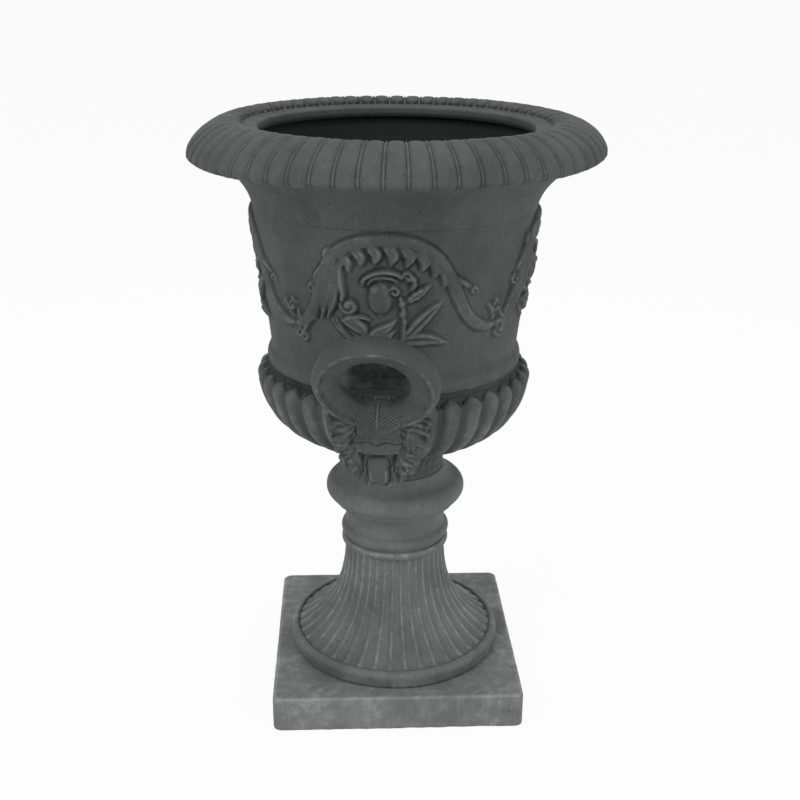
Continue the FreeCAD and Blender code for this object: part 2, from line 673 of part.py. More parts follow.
def make_bowl():
    gadroons = lobed("gadroons", gadroon_stations(), int(size("gadroon_count")))
    rim = lobed("rim", rim_stations(), int(size("tongue_count")))
    foot = rod("bowl_foot", "bowl_foot_radius", "bowl_foot_height", "0")
    wall = turned("wall", [
        ("0", "gadroon_top"),
        ("gadroon_top_radius - bead_recess", "gadroon_top"),
        ("gadroon_top_radius - bead_recess", "bead_level"),
        ("bead_radius", "bead_level + bead_edge"),
        ("bead_radius", "bead_level + bead_height - bead_edge", "bead_curve"),
        ("wall_foot_radius", "wall_foot_level", "-bead_curve"),
        ("wall_top_radius", "wall_top_level"),
        ("rim_under_radius - rim_under_step", "rim_under_level", "-cavetto_curve"),
        ("0", "rim_under_level"),
    ])
    band = rod("mouth_band", "mouth_band_radius", "lip_height",
               "rim_level - lip_step - lip_height")
    line = inside_line(INSIDE_STEPS)
    hollow = turned("bowl_hollow", [("0", "bowl_floor")] + pairs(line) + [
        ("wall_top_radius - bowl_wall", "wall_top_level"),
        ("mouth_radius + undercut", "undercut_level"),
        ("mouth_radius + undercut", "rim_level - lip_step - lip_height"),
        ("mouth_radius", "rim_level - lip_step - lip_height + lip_slope"),
        ("mouth_radius", "rim_level"),
        ("0", "rim_level"),
    ])
    holes = [rod("bowl_centre_hole", ROD_HOLE, "bowl_floor", "0")]
    holes += drains("bowl_drain", "bowl_floor", "0")
    for side, turn in SIDES:
        for level in STUD_LEVELS:
            start = stud_seat(level) - size("spotface_tool")
            holes.append(stud_bar(f"{side}_{level}_hole", size("stud_radius + stud_gap"),
                                  start, size("bulge_radius"), level, turn))
            holes.append(stud_bar(f"{side}_{level}_spot",
                                  size("stud_washer_radius + spotface_margin"), start,
                                  size("spotface_tool"), level, turn))
    casting = united("bowl_casting", foot, gadroons, wall, rim, band, make_frieze())
    return less("bowl", casting, hollow, *holes)


# ---------------------------------------------------------------- ring handles and masks
def bowl_envelope(name):
    """The space that the bowl's lower half takes up, with the fitting gap round it."""
    gap = size("seat_gap")
    line = [(r + gap, z) for r, z in gadroon_line(CURVE_CHECKS // 2)]
    over_bead = "bead_radius + seat_bead_room + seat_gap"
    return turned(name, [("0", f"{line[0][1]:.4f}")] + pairs(line) + [
        ("gadroon_brow_radius + seat_bead_room + seat_gap", "gadroon_brow_level + seat_gap"),
        (over_bead, "gadroon_top + seat_bead_room + seat_gap"),
        (over_bead, "bead_level + bead_height + seat_gap"),
        ("wall_top_radius + seat_gap", "wall_top_level"),
        ("0", "wall_top_level"),
    ])


def make_ring(name, turn, gap="0"):
    """A ring handle leaning out from the bowl: a round outer band, a thin seam on its face and
    a tapered inner face. It is open at its foot, where its ends enter the mask's temples. With
    a gap it is the space that the ring takes up."""
    stock = f"(ring_thickness / 2 + {gap})"
    opening = f"(ring_opening - {gap} / ring_radius * 180 / pi)"
    ring = doc.addObject("PartDesign::Body", name)
    section = outline(ring, f"{name}_section", [
        (f"ring_radius - {stock}", "-ring_flat"),
        ("ring_radius - ring_flat", f"-{stock}", "ring_round"),
        ("ring_radius + ring_flat", f"-{stock}"),
        (f"ring_radius + {stock}", "0", "ring_round"),
        ("ring_radius + ring_band", stock, "ring_band_curve"),
        ("ring_radius + ring_band - ring_seam", stock),
        ("ring_radius + ring_band - 2 * ring_seam", f"{stock} - ring_seam"),
    ])
    loop = ring.newObject("PartDesign::Revolution", f"{name}_loop")
    loop.Profile = section
    loop.ReferenceAxis = (section, ["V_Axis"])
    loop.setExpression("Angle", bound(f"360 - 2 * {opening}"))
    lean = math.radians(size("ring_lean"))
    centre = Vector(0, -size("ring_foot_reach") - size("ring_radius") * math.sin(lean),
                    size("ring_foot_level") + size("ring_radius") * math.cos(lean))
    face_front = Rotation(Vector(1, 0, 0), 90 + size("ring_lean"))
    open_below = Rotation(NORMAL_Z, -90 + size(opening))
    ring.Placement = Placement(Vector(), Rotation(NORMAL_Z, turn)).multiply(
        Placement(centre, face_front)).multiply(Placement(Vector(), open_below))
    doc.recompute()
    return ring


def make_mane(side):
    """A leafy mane: an oval whose edge is notched between the locks, carried straight in and
    kept to a shell that follows the bowl."""
    count = 2 * int(size("mane_locks"))
    points = []
    for index in range(count):
        angle = 2 * math.pi * (index + 0.5) / count
        drop = size("mane_scallop") * (index % 2)
        height = size("mane_above") if math.sin(angle) > 0 else size("mane_below")
        points.append(Vector((size("mane_half_width") - drop) * math.cos(angle), 0,
                             size("mane_level") + (height - drop) * math.sin(angle)))
    leaf = doc.addObject("Part::Extrusion", f"{side}_mane_leaf")
    leaf.Base = polygon_feature(f"{side}_mane_outline", points)
    leaf.Dir = Vector(0, -1, 0)
    leaf.LengthFwd = size("mane_reach")
    leaf.Solid = True
    top = "mane_level + mane_above"
    bottom = "mane_level - mane_below"
    shell = turned(f"{side}_mane_shell", [
        ("mane_root", f"{bottom} + mane_above"),
        ("mane_reach - mane_edge", bottom),
        ("mane_reach", "mane_level - mane_below / 2", "mane_curve"),
        ("mane_reach", "mane_level", "mane_curve"),
        ("mane_reach - mane_edge", top, "mane_curve"),
        ("mane_root", top),
    ])
    mane = doc.addObject("Part::MultiCommon", f"{side}_mane")
    mane.Shapes = [leaf, shell]
    return mane


def face_section(name, station):
    """One level section of a face. Its back stays inside the mane, whose underside slopes in."""
    level, half_width, *reaches = station
    above_mane = level - size("mane_level - mane_below")
    back = max(size("wall_foot_radius - bowl_wall"), reaches[-1] - above_mane)
    step = half_width / (len(reaches) - 1)
    right = [Vector(step * index, -reach, level) for index, reach in enumerate(reaches)]
    left = [Vector(-point.x, point.y, level) for point in reversed(right[1:])]
    return polygon_feature(name, left + right + [Vector(half_width, -back, level),
                                                 Vector(-half_width, -back, level)])


def straight_loft(name, section_maker, stations):
    """A solid with straight sides from each section to the next."""
    loft = doc.addObject("Part::Loft", name)
    loft.Sections = [section_maker(f"{name}_section_{index}", station)
                     for index, station in enumerate(stations, start=1)]
    loft.Solid = True
    loft.Ruled = True
    return loft


def make_mask(side):
    """A beast's mask with a leafy mane. Its back follows the bowl, its temples are hollowed for
    the ends of the ring, and it is drilled for its two studs."""
    mane = make_mane(side)
    face = straight_loft(f"{side}_face", face_section, FACE)
    sockets = [bowl_envelope(f"{side}_mask_back"),
               make_ring(f"{side}_temple_sockets", 0, "seat_gap")]
    for level in STUD_LEVELS:
        start, end = stud_ends(level)
        sockets.append(stud_bar(f"{side}_mask_{level}_hole", size("stud_radius"), start,
                                end - start + size("stud_gap"), level, 0))
    return less(f"{side}_mask", united(f"{side}_mask_blank", mane, face), *sockets)


# ---------------------------------------------------------------- fixings
def stud_ends(level):
    """Where a stud starts inside the bowl and ends inside the mask, from the axis."""
    washer = size("stud_washer_thickness")
    start = stud_seat(level) - washer - size("stud_nut_height") - size("stud_proud")
    end = level_crossing(gadroon_line(CURVE_CHECKS), size(level)) + size("stud_bite")
    return start, end


def ring_washer(name, outer, inner, thickness, level="0"):
    """A flat round washer or a ring of mortar."""
    plate = rod(f"{name}_plate", outer, thickness, level)
    hole = rod(f"{name}_bore", inner, thickness, level)
    return less(name, plate, hole)


def nut(name, flats, bore, height, level="0"):
    """A hexagonal nut."""
    return less(name, hexagon(f"{name}_blank", flats, height, level),
                rod(f"{name}_bore", bore, height, level))


def along_radius(piece, start, level, turn):
    """Lays an upright piece along the radius that points at a mask."""
    lying = Placement(Vector(0, -start, size(level)), Rotation(Vector(1, 0, 0), 90))
    piece.Placement = Placement(Vector(), Rotation(NORMAL_Z, turn)).multiply(lying)
    return piece


def grouped(name, pieces):
    """Identical fixings kept together as separate solids."""
    group = doc.addObject("Part::Compound", name)
    group.Links = pieces
    return group


def make_stud_fixings():
    studs, washers, nuts = [], [], []
    for side, turn in SIDES:
        for level in STUD_LEVELS:
            name = f"{side}_{level}"
            start, end = stud_ends(level)
            seat = stud_seat(level)
            washer = size("stud_washer_thickness")
            studs.append(stud_bar(f"{name}_stud", size("stud_radius"), start, end - start,
                                  level, turn))
            washers.append(along_radius(
                ring_washer(f"{name}_washer", "stud_washer_radius", "stud_radius",
                            "stud_washer_thickness"), seat - washer, level, turn))
            nuts.append(along_radius(
                nut(f"{name}_nut", "stud_nut_flats", "stud_radius", "stud_nut_height"),
                seat - washer - size("stud_nut_height"), level, turn))
    return (grouped("mask_stud_group", studs), grouped("mask_washer_group", washers),
            grouped("mask_nut_group", nuts))


def make_tie():
    deck_under = "plinth_height - plinth_deck"
    floor = added(BOWL_BASE, "bowl_floor")
    rod_length = added("pedestal_height", "2 * bed_thickness", "plinth_deck", "bowl_floor",
                       "2 * (washer_thickness + nut_height + rod_proud)")
    rod_start = f"{deck_under} - washer_thickness - nut_height - rod_proud"
    finished(rod("tie_bar", "rod_radius", rod_length, rod_start), "centre_tie_rod")
    finished(ring_washer("upper_washer", "washer_radius", "rod_radius", "washer_thickness",
                         floor), "upper_tie_washer")
    finished(nut("upper_nut", "nut_flats", "rod_radius", "nut_height",
                 added(floor, "washer_thickness")), "upper_tie_nut")
    finished(ring_washer("lower_washer", "washer_radius", "rod_radius", "washer_thickness",
                         f"{deck_under} - washer_thickness"), "lower_tie_washer")
    finished(nut("lower_nut", "nut_flats", "rod_radius", "nut_height",
                 f"{deck_under} - washer_thickness - nut_height"), "lower_tie_nut")


def make_beds():
    foot_outer = "disc_radius - foot_bed_recess"
    neck_outer = "bowl_foot_radius - neck_bed_recess"
    finished(ring_washer("foot_bed", foot_outer, f"{foot_outer} - foot_bed_width",
                         "bed_thickness", "plinth_height"), "foot_bedding_ring")
    finished(ring_washer("neck_bed", neck_outer, f"{neck_outer} - neck_bed_width",
                         "bed_thickness", added(PEDESTAL_BASE, "pedestal_height")),
             "neck_bedding_ring")


# ---------------------------------------------------------------- assembly
finished(make_plinth(), "plinth")
finished(make_pedestal(), "pedestal", PEDESTAL_BASE)
finished(make_bowl(), "bowl", BOWL_BASE, "bowl_turn")
for side, turn in SIDES:
    handle = less(f"{side}_handle", make_ring(f"{side}_ring", 0), bowl_envelope(f"{side}_seat"))
    finished(handle, f"{side}_ring_handle", BOWL_BASE, f"bowl_turn + {turn}")
    finished(make_mask(side), f"{side}_mask", BOWL_BASE, f"bowl_turn + {turn}")
stud_group, washer_group, nut_group = make_stud_fixings()
finished(stud_group, "mask_studs", BOWL_BASE, "bowl_turn")
finished(washer_group, "mask_stud_washers", BOWL_BASE, "bowl_turn")
finished(nut_group, "mask_stud_nuts", BOWL_BASE, "bowl_turn")
make_tie()
make_beds()
doc.recompute()

for item in doc.Objects:
    if "Invalid" in item.State or "Error" in item.State:
        raise RuntimeError(f"{item.Label} did not rebuild: {item.State}")
for piece in SUB_PARTS:
    if piece.Shape.isNull() or not piece.Shape.isValid():
        raise RuntimeError(f"{piece.Label} is not a valid solid")

os.makedirs("parts", exist_ok=True)
for piece in SUB_PARTS:
    piece.Shape.exportStep(f"parts/{piece.Label}.step")
    box = piece.Shape.BoundBox
    print(f"{piece.Label}: {len(piece.Shape.Solids)} solid(s), {piece.Shape.Volume / 1e3:.1f} cm3, "
          f"z {box.ZMin:.1f} to {box.ZMax:.1f}, across {box.XLength:.1f} x {box.YLength:.1f}")
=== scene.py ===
import math

import bpy
import numpy as np
from bpy.props import FloatProperty, FloatVectorProperty, IntProperty, PointerProperty
from mathutils import Matrix, Vector


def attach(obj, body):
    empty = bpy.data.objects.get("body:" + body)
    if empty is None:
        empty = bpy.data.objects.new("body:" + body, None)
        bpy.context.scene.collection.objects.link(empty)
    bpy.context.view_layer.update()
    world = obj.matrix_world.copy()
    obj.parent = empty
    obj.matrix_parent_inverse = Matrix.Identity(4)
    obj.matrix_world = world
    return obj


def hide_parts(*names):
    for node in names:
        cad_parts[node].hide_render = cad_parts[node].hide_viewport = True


bl_info = {
    "name": "Urn planter",
    "version": (1, 0, 0),
    "blender": (4, 5, 0),
    "location": "View3D > Sidebar > Urn",
    "description": "Dresses a cast stone garden urn with its relief, its masks and its finish",
    "category": "Add Mesh",
}

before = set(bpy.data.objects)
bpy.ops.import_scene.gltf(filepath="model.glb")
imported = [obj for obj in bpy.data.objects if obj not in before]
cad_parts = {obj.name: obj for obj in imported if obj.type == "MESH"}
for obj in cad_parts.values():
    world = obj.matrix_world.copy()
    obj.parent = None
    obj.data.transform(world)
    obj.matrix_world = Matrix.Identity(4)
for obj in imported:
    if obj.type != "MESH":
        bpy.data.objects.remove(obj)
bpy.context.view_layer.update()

MM = 0.001
BODY = "root"


# ---------------------------------------------------------------- colours and properties
def linear(text):
    """A six-figure sRGB hex colour as linear red, green and blue."""
    parts = np.array([int(text[i:i + 2], 16) for i in (1, 3, 5)]) / 255
    return tuple(np.where(parts <= 0.04045, parts / 12.92, ((parts + 0.055) / 1.055) ** 2.4))


def length(name, millimetres, description):
    """A length property whose default is given in millimetres."""
    return FloatProperty(name=name, description=description, default=millimetres * MM,
                         subtype="DISTANCE", unit="LENGTH", precision=4, min=0)


def degrees(name, angle, description):
    """An angle property whose default is given in degrees."""
    return FloatProperty(name=name, description=description, default=math.radians(angle),
                         subtype="ANGLE", unit="ROTATION")


def colour(name, text, description):
    """A colour property whose default is an sRGB hex value."""
    return FloatVectorProperty(name=name, description=description, default=linear(text),
                               subtype="COLOR", size=3, min=0, max=1)


class UrnBowlSizes(bpy.types.PropertyGroup):
    turn: degrees("Turn", -8.5, "How far the bowl is turned on its pedestal")
    gadroons: IntProperty(name="Gadroons", description="Gadroons round the bowl", default=36)
    gadroon_depth: length("Gadroon depth", 5.8, "Gadroons stand proud of their grooves")
    tongues: IntProperty(name="Tongues", description="Tongues round the rim", default=60)
    tongue_depth: length("Tongue depth", 3.2, "Tongues stand proud of their grooves")
    rim_radius: length("Rim radius", 204.4, "Crests of the rim's tongues at its edge")
    mouth_radius: length("Mouth radius", 135, "Mouth of the bowl")
    surface: length("Surface", 0.3, "Unevenness of the hand-finished casting")


class UrnPedestalSizes(bpy.types.PropertyGroup):
    flutes: IntProperty(name="Flutes", description="Flutes round the flare", default=40)
    flute_depth: length("Flute depth", 2.8, "Depth of a flute")
    surface: length("Surface", 0.3, "Unevenness of the hand-finished casting")


class UrnPlinthSizes(bpy.types.PropertyGroup):
    width: length("Width", 263.0, "Side of the square plinth")
    corner: length("Corner radius", 8, "Upright corners")
    edge: length("Edge radius", 3.0, "Worn top edge")
    tooling: length("Tooling", 0.5, "Depth of the marks on the sides")


class UrnMaskSizes(bpy.types.PropertyGroup):
    locks: IntProperty(name="Locks", description="Scallops round each mane", default=26)
    lock_depth: length("Lock depth", 2.5, "Depth of the hollows between the mane's tufts")
    strands: length("Strands", 0.6, "Depth of the strands in a tuft")


class UrnFinish(bpy.types.PropertyGroup):
    wash: colour("Wash", "#5F6261", "Dark wash over the casting")
    # dark wash and dirt, which also serves as painted shade in recesses, in pinholes and inside the
    # bowl
    dirt_and_shade: colour("Recesses", "#3C3F3E", "Wash and dirt that gathered in the recesses")
    worn: colour("Worn edges", "#8B8E8C", "Edges where the wash is rubbed thin")
    chip: colour("Chips", "#C9C8C2", "Bare casting where the wash is chipped off")
    mortar: colour("Mortar", "#6E6C68", "Bedding mortar")
    zinc: colour("Zinc", "#B4B8BA", "Zinc plating on the fixings")


# ---------------------------------------------------------------- lines and surfaces
def line(start, end, count):
    """Points of a straight line, without its end."""
    return np.linspace(start, end, count, endpoint=False)


def arc(start, end, radius, count):
    """Points of a circular arc, without its end. A positive radius bulges to the right."""
    start, end = np.array(start, float), np.array(end, float)
    chord = end - start
    half = np.hypot(*chord) / 2
    side = np.array([chord[1], -chord[0]]) / (2 * half)
    hub = (start + end) / 2 - side * math.copysign(math.sqrt(radius * radius - half * half),
                                                   radius)
    first = math.atan2(*(start - hub)[::-1])
    sweep = math.copysign(2 * math.asin(half / abs(radius)), radius)
    angle = first + sweep * np.arange(count) / count
    return hub + abs(radius) * np.stack([np.cos(angle), np.sin(angle)], -1)


def curve(start, leave, arrive, end, count):
    """Points of a cubic curve from start towards leave and from arrive to end, without end."""
    t = (np.arange(count) / count)[:, None]
    start, leave, arrive, end = (np.array(p, float) for p in (start, leave, arrive, end))
    return ((1 - t) ** 3 * start + 3 * t * (1 - t) ** 2 * leave + 3 * t * t * (1 - t) * arrive
            + t ** 3 * end)


def through(points, count):
    """A smooth line through points: each stretch is a cubic whose slope at a point is half the
    way from the point before it to the point after it (a Catmull-Rom line)."""
    points = np.array(points, float)
    padded = np.concatenate([2 * points[:1] - points[1:2], points, 2 * points[-1:] - points[-2:-1]])
    along = np.linspace(0, len(points) - 1 - 1e-9, count)
    index = along.astype(int)
    t = (along - index)[:, None]
    a, b, c, d = (padded[index + k] for k in range(4))
    return 0.5 * (2 * b + (c - a) * t + (2 * a - 5 * b + 4 * c - d) * t * t
                  + (3 * b - a - 3 * c + d) * t ** 3)


def line_normals(points, closed=False):
    """Unit normals on the right-hand side of a line of (radius, level) points."""
    if closed:
        along = np.roll(points, -1, 0) - np.roll(points, 1, 0)
    else:
        along = np.gradient(points, axis=0)
    along /= np.maximum(np.hypot(along[:, :1], along[:, 1:]), 1e-9)
    return np.stack([along[:, 1], -along[:, 0]], -1)


def arc_length(points):
    """Distance along a line of points, from its first point."""
    return np.concatenate([[0], np.cumsum(np.linalg.norm(np.diff(points, axis=0), axis=1))])


def smooth_step(low, high, value):
    """0 below low, 1 above high and a smooth rise between them."""
    t = np.clip((value - low) / (high - low), 0, 1)
    return t * t * (3 - 2 * t)


def lattice_noise(points, cell, seed):
    """Noise between -1 and 1: a fixed random number at each corner of a lattice of cubes, whose
    side is cell, blended smoothly between the corners."""
    scaled = points / cell
    base = np.floor(scaled).astype(np.int64)
    part = scaled - base
    part = part * part * (3 - 2 * part)
    total = 0
    for corner in np.ndindex(2, 2, 2):
        at = base + np.array(corner)
        mixed = (at[..., 0] * 73856093) ^ (at[..., 1] * 19349663) ^ (at[..., 2] * 83492791)
        mixed = ((mixed + seed * 7919) & 0x7FFFFFFF) * 48271 & 0x7FFFFFFF
        mixed = (mixed ^ (mixed >> 15)) * 1274126177 & 0x7FFFFFFF
        value = (mixed ^ (mixed >> 13)) % 65536 / 32767.5 - 1
        total = total + value * np.prod(np.where(corner, part, 1 - part), -1)
    return total


def uneven(points, amount):
    """How far a hand-finished casting lies off its true form: broad waves of 45 mm, dents of
    14 mm and small lumps of 5 mm, added up."""
    return amount * (0.9 * lattice_noise(points, 45, 1) + 0.6 * lattice_noise(points, 14, 2)
                     + 0.45 * lattice_noise(points, 5, 3))


def turned_about_axis(radius, level, angle):
    """Points from radius, level and angle arrays; angle 0 is on -Y and grows towards +X."""
    return np.stack(np.broadcast_arrays(radius * np.sin(angle), -radius * np.cos(angle), level), -1)


def turn_points(points, angle):
    """Points turned about the upright axis."""
    c, s = math.cos(angle), math.sin(angle)
    return points @ np.array([[c, s, 0], [-s, c, 0], [0, 0, 1]])


def grid_faces(rows, columns, wrap_rows, wrap_columns, offset=0):
    """Four-cornered faces of a grid of vertices, wrapped where it closes on itself."""
    r = np.arange(rows if wrap_rows else rows - 1)[:, None]
    c = np.arange(columns if wrap_columns else columns - 1)[None, :]
    r_next, c_next = (r + 1) % rows, (c + 1) % columns
    corners = [r * columns + c, r * columns + c_next, r_next * columns + c_next,
               r_next * columns + c]
    return np.stack([np.broadcast_to(k, np.broadcast_shapes(r.shape, c.shape))
                     for k in corners], -1).reshape(-1, 4) + offset


def piece_from_grids(name, grids, wears_and_light, wrap_rows, material, nodes, smooth_rows=None):
    """One closed mesh from grids of points (rows, columns, 3) in millimetres. Every grid closes
    on itself along its columns. Where its rows don't, each end is closed by a fan to the middle
    of its last row. The wear values say how proud each point stands, from 0 in a recess to 1 on
    an edge, lowered in places for painted shade and raised in places for painted highlights.
    With smooth_rows only that many rows of faces are shaded smooth."""
    points, worn, faces, count = [], [], [], 0
    for grid, wear_and_light in zip(grids, wears_and_light):
        rows, columns = grid.shape[:2]
        wear_and_light = np.broadcast_to(wear_and_light, (rows, columns))
        quads = grid_faces(rows, columns, wrap_rows, True)
        flat, flat_wear_and_light = grid.reshape(-1, 3), wear_and_light.reshape(-1)
        if not wrap_rows:
            flat = np.concatenate([flat, grid[:1].mean(1), grid[-1:].mean(1)])
            flat_wear_and_light = np.concatenate([flat_wear_and_light, wear_and_light[:1].mean(1), wear_and_light[-1:].mean(1)])
            c = np.arange(columns)
            n = (c + 1) % columns
            first, last = np.full(columns, rows * columns), np.full(columns, rows * columns + 1)
            end = (rows - 1) * columns
            quads = np.concatenate([quads, np.stack([first, n, c, c], -1),
                                    np.stack([last, end + c, end + n, end + n], -1)])
        a, b, c3, d = (flat[quads[:, k]] for k in range(4))
        volume = np.einsum("ij,ij->", a, np.cross(b, c3)) + np.einsum("ij,ij->", a,
                                                                      np.cross(c3, d))
        if volume < 0:
            quads = np.where(quads[:, 2:3] == quads[:, 3:4], quads[:, [1, 0, 2, 2]],
                             quads[:, ::-1])
        points.append(flat)
        worn.append(flat_wear_and_light)
        faces.append(quads + count)
        count += len(flat)
    points, worn, faces = (np.concatenate(k) for k in (points, worn, faces))
    fans = faces[:, 2] == faces[:, 3]
    sizes = np.where(fans, 3, 4)
    keep = np.ones(faces.shape, bool)
    keep[fans, 3] = False

    mesh = bpy.data.meshes.new(name)
    mesh.vertices.add(len(points))
    mesh.vertices.foreach_set("co", (points * MM).astype(np.float32).ravel())
    mesh.loops.add(int(sizes.sum()))
    mesh.loops.foreach_set("vertex_index", faces[keep].astype(np.int32))
    mesh.polygons.add(len(faces))
    starts = np.concatenate([[0], np.cumsum(sizes)[:-1]])
    mesh.polygons.foreach_set("loop_start", starts.astype(np.int32))
    mesh.update(calc_edges=True)
    smooth = np.ones(len(faces), bool)
    if smooth_rows is not None:
        smooth[smooth_rows * grids[0].shape[1]:] = False
    mesh.polygons.foreach_set("use_smooth", smooth)
    # the proud attribute carries wear and, in places, painted shade and painted highlights
    proud = mesh.attributes.new("proud", "FLOAT", "POINT")
    proud.data.foreach_set("value", np.clip(worn, 0, 1).astype(np.float32))
    if mesh.validate():
        raise RuntimeError(f"{name} had faces that don't hold together")
    piece = bpy.data.objects.new(name, mesh)
    bpy.context.scene.collection.objects.link(piece)
    mesh.materials.append(material)
    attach(piece, BODY)
    if nodes:
        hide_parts(*nodes)
    return piece


# ---------------------------------------------------------------- materials
def node(tree, kind, inputs=None, **settings):
    """Adds a shader node, applies its settings and fills its inputs: an output socket is
    linked and anything else is set as the input's value."""
    added = tree.nodes.new(kind)
    for name, value in settings.items():
        setattr(added, name, value)
    for key, value in (inputs or {}).items():
        if isinstance(value, bpy.types.NodeSocket):
            tree.links.new(value, added.inputs[key])
        else:
            added.inputs[key].default_value = value
    return added


def new_material(name):
    """An empty node material with its shader and output."""
    material = bpy.data.materials.new(name)
    material.use_nodes = True
    tree = material.node_tree
    tree.nodes.clear()
    shader = node(tree, "ShaderNodeBsdfPrincipled")
    node(tree, "ShaderNodeOutputMaterial", {"Surface": shader.outputs["BSDF"]})
    return material, tree, shader


def per_metre(millimetres):
    """The pattern scale that repeats after this many millimetres on Object coordinates."""
    return 1 / (millimetres * MM)


def mixed(tree, factor, first, second, blend="MIX"):
    """Two colours blended by a factor."""
    mix = node(tree, "ShaderNodeMix", data_type="RGBA", blend_type=blend)
    for socket, value in ((mix.inputs[0], factor), (mix.inputs[6], first),
                          (mix.inputs[7], second)):
        if isinstance(value, bpy.types.NodeSocket):
            tree.links.new(value, socket)
        else:
            socket.default_value = value
    return mix.outputs[2]


def ranged(tree, value, low, high, out_low=0.0, out_high=1.0):
    """A value mapped smoothly from one range to another, and held at its ends."""
    return node(tree, "ShaderNodeMapRange",
                {"Value": value, "From Min": low, "From Max": high, "To Min": out_low,
                 "To Max": out_high}, interpolation_type="SMOOTHSTEP").outputs["Result"]


def maths(tree, operation, first, second=0.0):
    """One sum on two values."""
    return node(tree, "ShaderNodeMath", {0: first, 1: second}, operation=operation).outputs[0]


def cast_stone(finish, name="cast_stone_dark_wash", paler=0.66):
    """Cast stone, rammed into a mould and rubbed with a dark wash. The wash leaves it matt and
    nearly black in the recesses, where painted shade darkens it further, and thin and paler on
    the edges, with painted highlights on some of them; sand grain, pinholes left by air in the
    mould and faint runs show all over, and painted shade fills the inside of the bowl. A larger
    paler is a thinner wash, and for the pedestal and the plinth partly painted light as well."""
    material, tree, shader = new_material(name)
    place = node(tree, "ShaderNodeTexCoord").outputs["Object"]
    proud = node(tree, "ShaderNodeAttribute", attribute_name="proud").outputs["Fac"]
    # clouds where the wash was rubbed more or less, about 55 mm across
    clouds = node(tree, "ShaderNodeTexNoise", {"Vector": place, "Scale": per_metre(55),
                                               "Detail": 5, "Roughness": 0.6}).outputs["Fac"]
    # blotches of 9 mm
    blotches = node(tree, "ShaderNodeTexNoise", {"Vector": place, "Scale": per_metre(9),
                                                 "Detail": 3}).outputs["Fac"]
    # sand of 1.2 mm; the real grain is nearer 0.5 mm, too fine to show
    grain = node(tree, "ShaderNodeTexNoise", {"Vector": place, "Scale": per_metre(1.2),
                                              "Detail": 2}).outputs["Fac"]
    # runs of wash, 5 mm wide and some 60 mm long
    flat = node(tree, "ShaderNodeMapping", {"Vector": place, "Scale": (1, 1, 0.08)})
    runs = node(tree, "ShaderNodeTexNoise", {"Vector": flat.outputs["Vector"],
                                             "Scale": per_metre(5), "Detail": 3}).outputs["Fac"]
    # pinholes about 9 mm apart and 1.3 mm across
    cells = node(tree, "ShaderNodeTexVoronoi", {"Vector": place, "Scale": per_metre(9)})
    pinhole = ranged(tree, cells.outputs["Distance"], 0.05, 0.11, 1.0, 0.0)
    chosen = ranged(tree, node(tree, "ShaderNodeSeparateColor",
                               {"Color": cells.outputs["Color"]}).outputs[0], 0.45, 0.5)
    pinhole = maths(tree, "MULTIPLY", pinhole, chosen)

    # paler where rubbed, and also where the proud value was raised as a painted highlight
    rubbed = maths(tree, "ADD", proud, maths(tree, "MULTIPLY", maths(
        tree, "SUBTRACT", blotches, 0.5), 0.7))
    # dark wash and dirt in the recesses, together with painted shade there
    body = mixed(tree, ranged(tree, proud, 0.0, 0.4, 0.85, 0.0), tuple(finish.wash) + (1,),
                 tuple(finish.dirt_and_shade) + (1,))
    body = mixed(tree, ranged(tree, rubbed, 0.62, 1.15, 0.0, 0.75), body,
                 tuple(finish.worn) + (1,))
    body = mixed(tree, ranged(tree, clouds, 0.35, 0.7, 0.0, 0.5), body,
                 tuple(finish.dirt_and_shade) + (1,))
    run = maths(tree, "MULTIPLY", ranged(tree, runs, 0.52, 0.8, 0.0, 0.14),
                ranged(tree, proud, 0.1, 0.35))
    body = mixed(tree, run, body, tuple(finish.worn) + (1,))
    # painted shade inside the bowl, where no light falls, and little rubbing there
    body = mixed(tree, ranged(tree, proud, 0.0, 0.06, 0.72, 0.0), body,
                 tuple(0.3 * c for c in finish.dirt_and_shade) + (1,))
    # a few chips of 2 to 3 mm on the most rubbed edges
    chips = node(tree, "ShaderNodeTexNoise", {"Vector": place, "Scale": per_metre(7),
                                              "Detail": 1}).outputs["Fac"]
    chipped = maths(tree, "MULTIPLY", ranged(tree, chips, 0.77, 0.8),
                    ranged(tree, proud, 0.75, 0.9))
    body = mixed(tree, chipped, body, tuple(finish.chip) + (1,))
    # the whole tone scaled by paler: a thinner wash, and for the pedestal and the plinth partly
    # painted light
    tone = ranged(tree, grain, 0.25, 0.75, 0.82 * paler, 1.16 * paler)
    tone = node(tree, "ShaderNodeCombineColor", {0: tone, 1: tone, 2: tone}).outputs["Color"]
    body = mixed(tree, 1.0, body, tone, "MULTIPLY")
    # pinholes darkened: dirt in them and painted shade in the hole
    body = mixed(tree, maths(tree, "MULTIPLY", pinhole, 0.8), body,
                 tuple(0.4 * c for c in finish.dirt_and_shade) + (1,))
    tree.links.new(body, shader.inputs["Base Color"])
    tree.links.new(ranged(tree, rubbed, 0.3, 1.1, 0.82, 0.6), shader.inputs["Roughness"])
    shader.inputs["IOR"].default_value = 1.5
    shader.inputs["Specular IOR Level"].default_value = 0.35

    height = maths(tree, "ADD", maths(tree, "MULTIPLY", blotches, 0.9),
                   maths(tree, "MULTIPLY", grain, 0.35))
    height = maths(tree, "SUBTRACT", height, maths(tree, "MULTIPLY", pinhole, 0.9))
    height = maths(tree, "ADD", height, maths(tree, "MULTIPLY", runs, 0.25))
    bump = node(tree, "ShaderNodeBump", {"Height": height, "Strength": 0.75,
                                         "Distance": 0.9 * MM})
    tree.links.new(bump.outputs["Normal"], shader.inputs["Normal"])
    return material


def cast_stone_foot(finish):
    """The stone of the pedestal, paler than the bowl: partly a thinner wash, partly painted light.
    """
    return cast_stone(finish, "cast_stone_thin_wash_and_light", 1.32)


def cast_stone_plinth(finish):
    """The stone of the plinth, palest of all: partly rubbed thinnest, partly painted light."""
    return cast_stone(finish, "cast_stone_rubbed_wash_and_light", 1.62)


